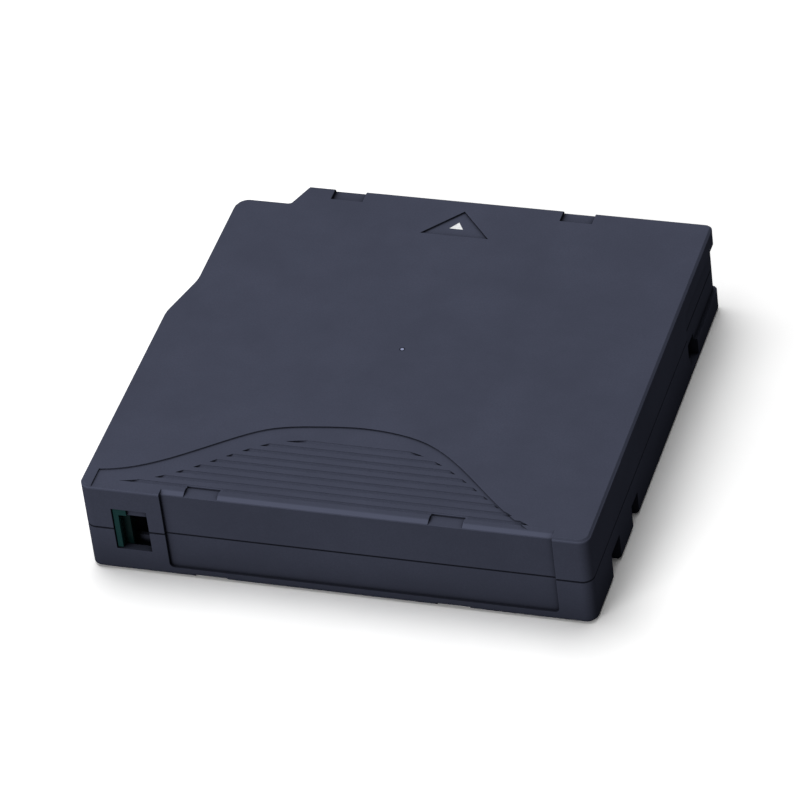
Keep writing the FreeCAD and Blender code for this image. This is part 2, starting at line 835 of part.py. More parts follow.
def pin_seat(name, z, slot_z):
    """A block with a slot, open towards the door, that takes one end of the leader pin."""
    half_length = s.pin_seat_half_length
    block = box(name + "_block", (DOOR_INNER + s.door_gap, PIN_X + s.pin_seat_back),
                (PIN_Y - half_length, PIN_Y + half_length), z)
    slot_radius = s.pin_head_radius + s.pin_seat_clearance
    seat = cylinder(name + "_seat", slot_radius, slot_z, PIN_X, PIN_Y)
    mouth = box(name + "_mouth", (DOOR_OUTER, PIN_X), (PIN_Y - slot_radius, PIN_Y + slot_radius), slot_z)
    return cut(name, block, [seat, mouth])


def door_rib(name, z):
    """The low rib that keeps an edge of the door against the side wall."""
    low = DOOR_INNER + s.door_gap
    return box(name, (low, low + s.door_rib_width),
               (NEAR + s.door_rib_rear_inset, PIN_Y - s.pin_seat_half_length), z)


def memory_ribs():
    """Sloping ribs in the near right corner that carry the memory board."""
    ribs = []
    last = s.memory_rib_count.value - 1
    right = INNER_RIGHT - s.memory_end_gap - s.memory_rib_thickness
    left = INNER_RIGHT - s.memory_end_gap - s.memory_length
    reach = memory_reach() - s.memory_rib_gap * math.sqrt(2)
    sunk_y = INNER_NEAR - s.sink
    sunk_z = FLOOR - s.sink
    for number in range(int(s.memory_rib_count.value)):
        x = left + (right - left) * (number / last)
        body = new_body(f"memory_rib_{number + 1}")
        sketch = new_sketch(body, f"memory_rib_side_{number + 1}", "YZ_Plane", lift=x)
        draw_polygon(sketch, [
            (sunk_y, sunk_z),
            (INNER_NEAR + reach, sunk_z),
            (INNER_NEAR + reach, FLOOR),
            (INNER_NEAR, FLOOR + reach),
            (sunk_y, FLOOR + reach),
        ])
        pad(body, sketch, s.memory_rib_thickness)
        ribs.append(body)
    return ribs


def memory_reach():
    """How far the underside of the leaning board stands off the corner, along either wall."""
    return (s.memory_width / math.sqrt(2)) + s.memory_foot + s.memory_wall_gap


def locating_bags():
    """Closed pockets in the bottom: a round one and one drawn out sideways."""
    top = s.locating_depth + s.locating_wall
    outer = s.locating_radius + s.locating_wall
    half = s.locating_slot_length / 2
    hole_x = RIGHT - s.locating_hole_in
    hole_y = FAR - s.locating_hole_down
    x = LEFT + s.locating_slot_in
    y = NEAR + s.locating_slot_up
    wall_z = (FLOOR - s.sink, top)
    walls = [
        cylinder("locating_hole_wall", outer, wall_z, hole_x, hole_y),
        cylinder("locating_slot_wall_left", outer, wall_z, x - half, y),
        cylinder("locating_slot_wall_right", outer, wall_z, x + half, y),
        box("locating_slot_wall", (x - half, x + half), (y - outer, y + outer), wall_z),
    ]
    radius = s.locating_radius
    hole_z = (-s.overcut, s.locating_depth)
    holes = [
        cylinder("locating_hole", radius, hole_z, hole_x, hole_y),
        cylinder("locating_slot_left", radius, hole_z, x - half, y),
        cylinder("locating_slot_right", radius, hole_z, x + half, y),
        box("locating_slot", (x - half, x + half), (y - radius, y + radius), hole_z),
    ]
    return walls, holes


def side_notches():
    """Notches in the lower side walls, with the walls that close them from the inside."""
    past = s.overcut
    back = s.notch_back_wall
    low = FLOOR - s.sink
    grip_start = NEAR + s.side_notch_start
    lock_start = NEAR + s.lock_notch_start
    pawl_start = FAR - s.side_relief_inset + s.pawl_notch_offset
    grip_y = (grip_start, grip_start + s.side_notch_length)
    lock_y = (lock_start, lock_start + s.lock_notch_length)
    pawl_y = (pawl_start, pawl_start + s.pawl_notch_length)
    grip_right = RIGHT - s.side_notch_inset
    grip_left = LEFT + s.side_notch_inset
    lock_face = RIGHT - s.lock_notch_inset
    pawl_face = RIGHT - s.side_relief_depth - s.pawl_notch_inset
    grip_wall_y = (grip_y[0] - back, grip_y[1] + back)
    grip_wall_z = (low, s.side_notch_height + back)
    walls = [
        box("grip_notch_wall_right", (grip_right - back, INNER_RIGHT + s.sink), grip_wall_y, grip_wall_z),
        box("grip_notch_wall_left", (INNER_LEFT - s.sink, grip_left + back), grip_wall_y, grip_wall_z),
        box("lock_notch_wall", (lock_face - back, INNER_RIGHT + s.sink),
            (lock_y[0] - back, lock_y[1] + back), (low, s.lock_notch_height + back)),
        box("pawl_notch_wall", (pawl_face - back, INNER_RIGHT + s.sink),
            (pawl_y[0] - back, pawl_y[1] + back), (low, s.pawl_notch_high + back)),
    ]
    cuts = [
        box("grip_notch_right", (grip_right, RIGHT + past), grip_y, (-past, s.side_notch_height)),
        box("grip_notch_left", (LEFT - past, grip_left), grip_y, (-past, s.side_notch_height)),
        box("lock_notch", (lock_face, RIGHT + past), lock_y, (-past, s.lock_notch_height)),
        box("pawl_notch", (pawl_face, RIGHT + past), pawl_y, (s.pawl_notch_low, s.pawl_notch_high)),
    ]
    return walls, cuts


def switch_track(name, z, lap_z):
    """The ledge and back rib that hold the write-protect switch against the label wall."""
    x = (INNER_LEFT - s.sink, TRACK_RIGHT)
    back = TRACK_BACK + s.switch_track_thickness
    return [
        box(name + "_ledge", x, (INNER_NEAR - s.sink, back), z),
        box(name + "_rib", x, (TRACK_BACK, back), lap_z),
    ]


def spring_seats():
    """The block behind the door's spring; above the seam it stands clear of the upper half."""
    y = (SPRING_SEAT - s.spring_seat_thickness, SPRING_SEAT)
    right = INNER_LEFT + s.spring_seat_width
    below_seam = LOWER_SEAM - s.parting_gap
    return [
        box("spring_seat", (INNER_LEFT - s.sink, right), y, (FLOOR - s.sink, LOWER_SEAM)),
        box("spring_seat_top", (INNER_LEFT + s.seat_gap, right), y,
            (below_seam, DOOR_MIDDLE + s.spring_seat_rise)),
    ]


def lower_shell():
    blank = shell_blank("lower_blank", (BOTTOM, LOWER_SEAM), (FLOOR, LOWER_SEAM), is_upper=False)
    low = FLOOR - s.sink
    past = s.overcut
    bags, bag_holes = locating_bags()
    notch_walls, notch_cuts = side_notches()
    post_x = PIN_X + s.pin_spring_post_x
    post_half = s.pin_spring_post_width / 2
    post_y = PIN_Y + s.pin_spring_post_y + s.pin_spring_wire + s.spring_end_gap
    body = fuse("lower_body", [
        blank,
        cylinder("opening_rim", OPENING + s.rim_width, (low, REEL_REST), REEL_X),
        *screw_bosses("lower", (low, LOWER_BOSS_TOP)),
        pin_seat("lower_pin_seat", (low, PIN_HEAD_TOP), (FLOOR, PIN_HEAD_TOP + past)),
        door_rib("lower_door_rib", (low, FLOOR + s.door_rib_height)),
        *switch_track("lower_track", (low, SWITCH_LOW - s.switch_clearance),
                      (low, SWITCH_LOW + s.switch_track_lap)),
        *memory_ribs(),
        *spring_seats(),
        box("pin_spring_post", (post_x - post_half, post_x + post_half),
            (post_y, INNER_SETBACK + s.sink), (low, LOWER_SEAM)),
        *bags,
        *notch_walls,
    ])
    shank_hole = s.screw_shank_radius + s.screw_hole_clearance
    head_hole = s.screw_head_radius + s.screw_counterbore_clearance
    holes = []
    for n, (x, y) in enumerate(SCREWS, 1):
        holes.append(cylinder(f"shank_hole_{n}", shank_hole, (-past, LOWER_BOSS_TOP + past), x, y))
        holes.append(cylinder(f"head_hole_{n}", head_hole, (-past, SCREW_HEAD_TOP), x, y))
    return cut("lower_shell", body, [
        cylinder("reel_opening", OPENING, (-past, REEL_REST + past), REEL_X),
        *holes,
        *bag_holes,
        *notch_cuts,
        *edge_notches("bottom", (-past, s.notch_depth)),
        *case_cuts("lower"),
    ])


def upper_shell():
    blank = shell_blank("upper_blank", (UPPER_SEAM, TOP), (UPPER_SEAM, CEILING), is_upper=True)
    high = CEILING + s.sink
    past = s.overcut
    body = fuse("upper_body", [
        blank,
        cylinder("socket_boss", SOCKET_BOSS, (SOCKET_MOUTH, high), REEL_X),
        *screw_bosses("upper", (LOWER_BOSS_TOP + s.boss_gap, high)),
        pin_seat("upper_pin_seat", (PIN_HEAD_UNDER, high), (PIN_HEAD_UNDER - past, CEILING)),
        door_rib("upper_door_rib", (CEILING - s.door_rib_height, high)),
        *switch_track("upper_track", (SWITCH_HIGH + s.switch_clearance, high),
                      (SWITCH_HIGH - s.switch_track_lap, high)),
    ])
    reach = SOCKET_REACH
    half = s.key_width / 2 + s.key_clearance
    socket_z = (SOCKET_MOUTH - past, CEILING)
    pilot = s.screw_shank_radius + s.screw_pilot_clearance
    pilot_z = (LOWER_BOSS_TOP - past, SCREW_TIP + s.screw_head_height)
    return cut("upper_shell", body, [
        box("socket_along", (REEL_X - reach, REEL_X + reach), (-half, half), socket_z),
        box("socket_across", (REEL_X - half, REEL_X + half), (-reach, reach), socket_z),
        *[cylinder(f"pilot_hole_{n}", pilot, pilot_z, x, y) for n, (x, y) in enumerate(SCREWS, 1)],
        *edge_notches("top", (TOP - s.notch_depth, TOP + past)),
        *finger_grip(),
        arrow_recess(),
        label_slope(),
        *case_cuts("upper"),
    ])


def case_screws():
    """Four flat-headed screws, driven from below."""
    screws = []
    for n, (x, y) in enumerate(SCREWS, 1):
        body = turned(f"screw_{n}", [
            (NOTHING, s.screw_head_depth),
            (s.screw_head_radius, s.screw_head_depth),
            (s.screw_head_radius, SCREW_HEAD_TOP),
            (s.screw_shank_radius, SCREW_HEAD_TOP),
            (s.screw_shank_radius, SCREW_TIP - s.screw_shank_radius),
            (NOTHING, SCREW_TIP),
        ])
        place(body, x, y)
        screws.append(body)
    group = DOCUMENT.addObject("Part::Compound", "case_screws")
    group.Links = screws
    return group


# ---------------------------------------------------------------- access door

def access_door():
    """The sliding door: a plate, a tab that a drive pushes, and a tail that meets the spring."""
    half_tail = s.door_tail_height / 2
    half_tab = s.door_tab_height / 2
    wall = (DOOR_OUTER, DOOR_INNER)
    tail = (DOOR_MIDDLE - half_tail, DOOR_MIDDLE + half_tail)
    tab = (DOOR_MIDDLE - half_tab, DOOR_MIDDLE + half_tab)
    peg = DOCUMENT.addObject("Part::Cylinder", "door_peg")
    bind(peg, "Radius", s.spring_peg_radius)
    bind(peg, "Height", s.spring_peg_length + s.door_tail_head)
    place(peg, SPRING_X, TAIL_END, DOOR_MIDDLE, axis=(1, 0, 0), angle=90)
    return fuse("access_door", [
        box("door_plate", wall, (DOOR_REAR, DOOR_FRONT), (DOOR_LOW, DOOR_HIGH)),
        box("door_tail", wall, (SPRING_FRONT, DOOR_REAR + s.sink), tail),
        box("door_tail_block", (DOOR_INNER - s.door_tail_head_width, DOOR_INNER),
            (SPRING_FRONT, TAIL_END), tail),
        box("door_tab", wall, (DOOR_FRONT - s.sink, DOOR_FRONT + s.door_tab_length), tab),
        peg,
    ])


def coil(name, radius, wire, turns, stations, length):
    """A coil spring, upright from the origin, in short flat lengths of square wire."""
    half = wire.value / 2
    rise = length.value - wire.value
    count = int(round(turns.value * stations.value))
    rings = []
    for step in range(count + 1):
        turn = 2 * math.pi * step / stations.value
        height = half + rise * step / count
        across = VECTOR(math.cos(turn), math.sin(turn), 0)
        ring = [
            across * (radius.value + out) + VECTOR(0, 0, height + up)
            for out, up in ((-half, -half), (half, -half), (half, half), (-half, half))
        ]
        rings.append(ring)
    faces = [Part.Face(Part.makePolygon(ring + ring[:1])) for ring in (rings[0], rings[-1])]
    for before, after in zip(rings, rings[1:]):
        for k in range(4):
            n = (k + 1) % 4
            for corners in ((before[k], before[n], after[n]), (before[k], after[n], after[k])):
                faces.append(Part.Face(Part.makePolygon([*corners, corners[0]])))
    shell = Part.Shell(faces)
    shell.sewShape()
    body = Part.Solid(shell)
    if body.Volume < 0:
        body.reverse()
    return solid(name, body)


def door_spring():
    gap = s.spring_end_gap
    spring = coil("door_spring", s.spring_radius, s.spring_wire, s.spring_turns, s.spring_stations,
                  SPRING_FRONT - SPRING_SEAT - gap * 2)
    return place(spring, SPRING_X, SPRING_FRONT - gap, DOOR_MIDDLE, axis=(1, 0, 0), angle=90)


# ---------------------------------------------------------------- leader

def leader_pin():
    bevel = s.pin_edge_bevel
    rim = s.pin_head_radius - bevel
    body = turned("leader_pin", [
        (NOTHING, PIN_LOW),
        (rim, PIN_LOW),
        (s.pin_head_radius, PIN_LOW + bevel),
        (s.pin_head_radius, PIN_HEAD_TOP),
        (s.pin_neck_radius, PIN_HEAD_TOP),
        (s.pin_neck_radius, PIN_HEAD_UNDER),
        (s.pin_head_radius, PIN_HEAD_UNDER),
        (s.pin_head_radius, PIN_HIGH - bevel),
        (rim, PIN_HIGH),
        (NOTHING, PIN_HIGH),
    ])
    return place(body, PIN_X, PIN_Y)


# the tape's free end runs straight from the pin to where it touches the wound tape
LEADER_ARC = (PACK_RADIUS + s.leader_clearance + s.leader_thickness / 2).value
LEADER_SPAN = math.hypot(PIN_X.value - REEL_X.value, PIN_Y.value)
LEADER_RUN = math.sqrt(LEADER_SPAN ** 2 - LEADER_ARC ** 2)
LEADER_ANGLE = math.degrees(
    math.atan2(-PIN_Y.value, REEL_X.value - PIN_X.value) + math.asin(LEADER_ARC / LEADER_SPAN)
)


def leader_pin_clip():
    """A split sleeve that grips the tape's end on the pin."""
    inner = s.pin_neck_radius + s.clip_clearance
    outer = inner + s.clip_wall
    z = (PIN_HEAD_TOP + s.clip_end_gap, PIN_HEAD_UNDER - s.clip_end_gap)
    through = (z[0] - s.overcut, z[1] + s.overcut)
    half = s.clip_slot / 2
    clip = cut("leader_pin_clip", cylinder("clip_outer", outer, z), [
        cylinder("clip_inner", inner, through),
        box("clip_slot", (NOTHING, outer + s.overcut), (-half, half), through),
    ])
    return place(clip, PIN_X, PIN_Y, angle=LEADER_ANGLE)


def tape_leader():
    """The free end of the tape, from the wound tape to the pin."""
    start = (s.pin_neck_radius + s.leader_clearance).value
    film = DOCUMENT.addObject("Part::Box", "tape_leader")
    film.Length = LEADER_RUN - start
    bind(film, "Width", s.leader_thickness)
    bind(film, "Height", PACK_HIGH - PACK_LOW)
    turn = FreeCAD.Rotation(VECTOR(0, 0, 1), LEADER_ANGLE)
    corner = turn.multVec(VECTOR(start, -s.leader_thickness.value / 2, 0))
    film.Placement = FreeCAD.Placement(VECTOR(PIN_X.value, PIN_Y.value, PACK_LOW.value) + corner, turn)
    return film


def bent_wire(points, bend, radius):
    """An eight-sided wire along straight runs joined by arcs of one radius."""
    edges = []
    start = points[0]
    for before, corner, after in zip(points, points[1:], points[2:]):
        back = (before - corner).normalize()
        ahead = (after - corner).normalize()
        turn = math.pi - back.getAngle(ahead)
        set_off = bend * math.tan(turn / 2)
        middle = corner + (back + ahead).normalize() * (bend / math.cos(turn / 2) - bend)
        first = corner + back * set_off
        last = corner + ahead * set_off
        edges.append(Part.makeLine(start, first))
        edges.append(Part.Arc(first, middle, last).toShape())
        start = last
    edges.append(Part.makeLine(start, points[-1]))
    heading = FreeCAD.Rotation(VECTOR(0, 0, 1), points[1] - points[0])
    corners = [
        points[0] + heading.multVec(VECTOR(math.cos(turn), math.sin(turn), 0)) * radius
        for turn in (math.pi * side / 4 for side in range(9))
    ]
    return Part.Wire(edges).makePipeShell([Part.makePolygon(corners)], True, True)


def pin_spring():
    """A wire whose two arms lie across the ends of the pin and keep it in its seats."""
    radius = s.pin_spring_wire
    clear = s.leader_clearance
    arm_x = (PIN_X - s.pin_neck_radius - clear - radius).value
    low = (PIN_HEAD_TOP + clear + radius).value
    high = (PIN_HEAD_UNDER - clear - radius).value
    post_x = (PIN_X + s.pin_spring_post_x).value
    post_y = (PIN_Y + s.pin_spring_post_y).value
    near = (PIN_Y - s.pin_spring_reach).value
    far = (PIN_Y + s.pin_spring_reach).value
    points = [
        VECTOR(arm_x, near, low),
        VECTOR(arm_x, far, low),
        VECTOR(post_x, post_y, low),
        VECTOR(post_x, post_y, high),
        VECTOR(arm_x, far, high),
        VECTOR(arm_x, near, high),
    ]
    return solid("pin_spring", bent_wire(points, s.pin_spring_bend.value, radius.value))


# ---------------------------------------------------------------- write protection and memory

def write_protect_switch():
    """A body behind the label wall, and a rib and an arm that show in the window."""
    gap = s.switch_clearance
    rib = (SWITCH_RIB_LEFT, SWITCH_RIB_LEFT + s.switch_rib_width)
    reach = (SWITCH_RIB_LEFT, SWITCH_RIGHT)
    low = s.window_low + gap
    high = WINDOW_RECESS_HIGH - gap
    in_recess = (SWITCH_FACE, NEAR + s.window_recess_depth - gap)
    return fuse("write_protect_switch", [
        box("switch_body", (SWITCH_LEFT, SWITCH_RIGHT), (SWITCH_FRONT, SWITCH_BACK),
            (SWITCH_LOW, SWITCH_HIGH)),
        box("switch_stem", rib, (SWITCH_FACE, SWITCH_FRONT + s.sink), (low, WINDOW_HIGH - gap)),
        box("switch_riser", rib, in_recess, (low, high)),
        box("switch_arm", reach, in_recess, (WINDOW_HIGH + gap, high)),
    ])


def lean(item, x, up, back):
    """Sets a piece of the memory on the slope in the near right corner."""
    across = math.sqrt(2)
    y = INNER_NEAR + memory_reach() - up / across + back / across
    z = FLOOR + up / across + back / across
    return place(item, x, y, z, axis=(1, 0, 0), angle=135)


def memory_board():
    board = DOCUMENT.addObject("Part::Box", "memory_board")
    bind(board, "Length", s.memory_length)
    bind(board, "Width", s.memory_width)
    bind(board, "Height", s.memory_thickness)
    return lean(board, INNER_RIGHT - s.memory_end_gap - s.memory_length, s.memory_foot, s.memory_thickness)


def memory_chip():
    chip = DOCUMENT.addObject("Part::Box", "memory_chip")
    bind(chip, "Length", s.memory_chip_size)
    bind(chip, "Width", s.memory_chip_size)
    bind(chip, "Height", s.memory_chip_thickness)
    x = INNER_RIGHT - s.memory_end_gap - (s.memory_length + s.memory_chip_size) / 2
    up = s.memory_foot + (s.memory_width - s.memory_chip_size) / 2
    return lean(chip, x, up, s.memory_thickness + s.memory_chip_thickness)


# ---------------------------------------------------------------- reel

def toothed_ring(name, profile, ring, heights, widths, count):
    """A turned ring with radial teeth on it: where they stand, their root and tip, their widths."""
    inner, outer = ring
    root, tip = heights
    root_width, tip_width = widths
    body = new_body(name)
    sketch = new_sketch(body, name + "_profile", "XZ_Plane")
    draw_polygon(sketch, profile)
    revolve(body, sketch)
    section = new_sketch(body, name + "_tooth", "XZ_Plane", lift=inner)
    draw_polygon(section, [
        (-root_width / 2, root), (root_width / 2, root),
        (tip_width / 2, tip), (-tip_width / 2, tip),
    ])
    feature = pad(body, section, outer - inner)
    DOCUMENT.recompute()
    repeat_around(body, feature, count)
    return body


def tooth_widths(inner, count, root_share, tip_share):
    """Tooth widths at the root and the tip, as shares of the pitch on the inner radius."""
    pitch = inner * (2 * math.pi) / count
    return pitch * root_share, pitch * tip_share


DRIVE_WIDTHS = tooth_widths(DRIVE_INNER, s.drive_tooth_count,
                            s.drive_tooth_root_share, s.drive_tooth_tip_share)
LOCK_WIDTHS = tooth_widths(LOCK_INNER, s.lock_tooth_count,
                           s.lock_tooth_root_share, s.lock_tooth_tip_share)


def arm_angles():
    count = int(s.spider_arm_count.value)
    return [90 + 360 * n / count for n in range(count)]


def radial_bar(name, angle, length, width, z):
    """A bar from the axis outwards, at an angle in degrees."""
    bar = DOCUMENT.addObject("Part::Box", name)
    bind(bar, "Length", length)
    bind(bar, "Width", width)
    bind(bar, "Height", z[1] - z[0])
    turn = FreeCAD.Rotation(VECTOR(0, 0, 1), angle)
    corner = turn.multVec(VECTOR(0, -width.value / 2, 0))
    bar.Placement = FreeCAD.Placement(corner + VECTOR(0, 0, z[0].value), turn)
    return bar


def reel_hub():
    """Hub, lower flange, drive teeth below, and the pillars with lock teeth inside."""
    web = s.hub_web_underside
    hub = toothed_ring("hub_body", [
        (NOTHING, web - s.plate_pilot_drop),
        (s.plate_pilot_radius, web - s.plate_pilot_drop),
        (s.plate_pilot_radius, web),
        (HUB_BOSS, web),
        (HUB_BOSS, LOWER_FLANGE),
        (FLANGE_RADIUS, LOWER_FLANGE),
        (FLANGE_RADIUS, LOWER_FLANGE_TOP),
        (s.hub_radius, LOWER_FLANGE_TOP),
        (s.hub_radius, UPPER_FLANGE),
        (HUB_INNER, UPPER_FLANGE),
        (HUB_INNER, WEB_TOP),
        (NOTHING, WEB_TOP),
    ], (DRIVE_INNER, DRIVE_OUTER), (web + s.tooth_sink, DRIVE_TIPS), DRIVE_WIDTHS, s.drive_tooth_count)
    pillar_foot = WEB_TOP - s.sink
    pillars = toothed_ring("lock_pillars", [
        (LOCK_INNER, pillar_foot),
        (LOCK_OUTER, pillar_foot),
        (LOCK_OUTER, LOCK_ROOT),
        (LOCK_INNER, LOCK_ROOT),
    ], (LOCK_INNER, LOCK_OUTER), (LOCK_ROOT, LOCK_TIP), LOCK_WIDTHS, s.lock_tooth_count)
    gap_width = s.spider_arm_width + s.spider_arm_gap * 2
    gap_z = (WEB_TOP, LOCK_TIP + s.seat_gap)
    gaps = [
        radial_bar(f"arm_gap_{n}", angle, LOCK_OUTER + s.seat_gap, gap_width, gap_z)
        for n, angle in enumerate(arm_angles(), 1)
    ]
    sectors = cut("lock_sectors", pillars, gaps)
    legs = []
    for n, angle in enumerate(arm_angles(), 1):
        x, y = around(LEG_CIRCLE, angle)
        hole = s.spider_arm_width / 2 + s.spider_leg_clearance
        legs.append(cylinder(f"leg_hole_{n}", hole, (DRIVE_TIPS - s.overcut, WEB_TOP + s.sink), x, y))
    reel = cut("reel_hub", fuse("hub_joined", [hub, sectors]), legs)
    return place(reel, REEL_X)


def reel_upper_flange():
    lip = s.flange_lip
    body = turned("reel_upper_flange", [
        (HUB_INNER, UPPER_FLANGE),
        (FLANGE_RADIUS, UPPER_FLANGE),
        (FLANGE_RADIUS, UPPER_FLANGE_TOP),
        (s.hub_radius, UPPER_FLANGE_TOP),
        (s.hub_radius - lip, UPPER_FLANGE_TOP + lip),
        (HUB_INNER, UPPER_FLANGE_TOP + lip),
    ])
    return place(body, REEL_X)


def reel_drive_plate():
    """The steel ring under the hub, inside the drive teeth, that a drive's magnet holds."""
    high = s.hub_web_underside
    low = high - s.plate_thickness
    inner = s.plate_pilot_radius + s.plate_pilot_gap
    outer = DRIVE_INNER - s.plate_margin
    body = turned("reel_drive_plate", [(inner, low), (outer, low), (outer, high), (inner, high)])
    return place(body, REEL_X)


def tape_pack():
    inner = s.hub_radius + s.winding_gap
    body = turned("tape_pack", [
        (inner, PACK_LOW), (PACK_RADIUS, PACK_LOW), (PACK_RADIUS, PACK_HIGH), (inner, PACK_HIGH),
    ])
    return place(body, REEL_X)


# ---------------------------------------------------------------- reel lock

def brake_button():
    """A disc with lock teeth below and a cross-shaped key above that slides in the case."""
    disc = LOCK_OUTER + s.button_disc_margin
    ring = toothed_ring("button_disc", [
        (NOTHING, BUTTON_FOOT),
        (s.button_boss_radius, BUTTON_FOOT),
        (s.button_boss_radius, BUTTON_DISC),
        (disc, BUTTON_DISC),
        (disc, BUTTON_DISC_TOP),
        (NOTHING, BUTTON_DISC_TOP),
    ], (LOCK_INNER, LOCK_OUTER), (BUTTON_DISC + s.tooth_sink, BUTTON_TIP), LOCK_WIDTHS, s.lock_tooth_count)
    half_pitch = 180 / s.lock_tooth_count.value
    place(ring, angle=half_pitch)
    reach = KEY_REACH
    half = s.key_width / 2
    key = (BUTTON_DISC_TOP - s.sink, KEY_TOP)
    button = fuse("brake_button", [
        ring,
        box("key_along", (-reach, reach), (-half, half), key),
        box("key_across", (-half, half), (-reach, reach), key),
    ])
    return place(button, REEL_X)


def brake_release_spider():
    """A small three-armed pad whose legs reach down between the drive teeth."""
    leg_low = DRIVE_TIPS + s.spider_leg_above_tips
    slab = (SPIDER_LOW, SPIDER_HIGH)
    pieces = [
        cylinder("spider_disc", LOCK_INNER - s.spider_disc_margin, slab),
        cylinder("spider_nub", s.spider_nub_radius, (SPIDER_LOW, SPIDER_NUB_TOP)),
    ]
    for n, angle in enumerate(arm_angles(), 1):
        x, y = around(LEG_CIRCLE, angle)
        pieces.append(radial_bar(f"spider_arm_{n}", angle, LEG_CIRCLE, s.spider_arm_width, slab))
        pieces.append(cylinder(f"spider_leg_{n}", s.spider_arm_width / 2, (leg_low, SPIDER_HIGH), x, y))
    spider = fuse("brake_release_spider", pieces)
    return place(spider, REEL_X)


def brake_spring():
    gap = s.spring_end_gap
    spring = coil("brake_spring", BRAKE_SPRING_RADIUS, s.brake_spring_wire, s.brake_spring_turns,
                  s.brake_spring_stations, CEILING - BUTTON_DISC_TOP - gap * 2)
    return place(spring, REEL_X, NOTHING, BUTTON_DISC_TOP + gap)


# ---------------------------------------------------------------- build, check and write

PIECES = [
    upper_shell(),
    lower_shell(),
    case_screws(),
    access_door(),
    door_spring(),
    leader_pin(),
    leader_pin_clip(),
    pin_spring(),
    tape_leader(),
    write_protect_switch(),
    memory_board(),
    memory_chip(),
    reel_hub(),
    reel_upper_flange(),
    reel_drive_plate(),
    tape_pack(),
    brake_button(),
    brake_release_spider(),
    brake_spring(),
]
DOCUMENT.recompute()

for item in DOCUMENT.Objects:
    if "Invalid" in item.State or "Error" in item.State:
        raise RuntimeError(f"{item.Name} did not build: {item.State}")

os.makedirs("parts", exist_ok=True)
for piece in PIECES:
    shape = piece.Shape
    solids = len(shape.Solids)
    wanted = len(SCREWS) if piece.Name == "case_screws" else 1
    if shape.isNull() or not shape.isValid() or solids != wanted:
        raise RuntimeError(f"{piece.Name} is not a valid piece: {solids} solids")
    piece.Label = piece.Name
    shape.exportStep(f"parts/{piece.Label}.step")
    print(f"{piece.Label:24s} {shape.Volume:10.1f} mm3")
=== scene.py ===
"""Looks of the data tape cartridge: finishes, small metal and printed parts, floor, lights, camera."""
import json
import math

import bmesh
import bpy
from mathutils import Matrix, Quaternion, Vector


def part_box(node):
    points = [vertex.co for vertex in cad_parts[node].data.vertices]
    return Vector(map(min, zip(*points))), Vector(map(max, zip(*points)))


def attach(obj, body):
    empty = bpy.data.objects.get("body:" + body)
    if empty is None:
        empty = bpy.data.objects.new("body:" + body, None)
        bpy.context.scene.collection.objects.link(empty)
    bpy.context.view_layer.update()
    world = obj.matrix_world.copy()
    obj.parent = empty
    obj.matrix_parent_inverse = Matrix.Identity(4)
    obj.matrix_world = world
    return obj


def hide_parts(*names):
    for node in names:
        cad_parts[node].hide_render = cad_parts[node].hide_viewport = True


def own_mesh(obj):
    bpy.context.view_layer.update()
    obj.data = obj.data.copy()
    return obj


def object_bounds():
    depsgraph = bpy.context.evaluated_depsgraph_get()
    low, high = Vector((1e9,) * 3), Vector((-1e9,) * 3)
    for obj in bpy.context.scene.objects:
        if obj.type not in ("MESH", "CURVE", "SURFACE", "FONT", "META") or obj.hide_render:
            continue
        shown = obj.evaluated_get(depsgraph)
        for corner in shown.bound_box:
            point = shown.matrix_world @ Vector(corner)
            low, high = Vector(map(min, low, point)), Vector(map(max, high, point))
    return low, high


MM = 0.001

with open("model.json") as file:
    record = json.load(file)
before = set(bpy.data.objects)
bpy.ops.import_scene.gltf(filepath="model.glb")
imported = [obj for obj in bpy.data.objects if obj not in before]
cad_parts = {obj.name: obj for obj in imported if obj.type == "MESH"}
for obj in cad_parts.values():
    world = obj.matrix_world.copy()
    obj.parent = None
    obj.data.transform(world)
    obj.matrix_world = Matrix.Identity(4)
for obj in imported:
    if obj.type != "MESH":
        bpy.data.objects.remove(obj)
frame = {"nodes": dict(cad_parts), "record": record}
CAD_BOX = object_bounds()
NODES = frame["nodes"]


# ---------------------------------------------------------------- materials

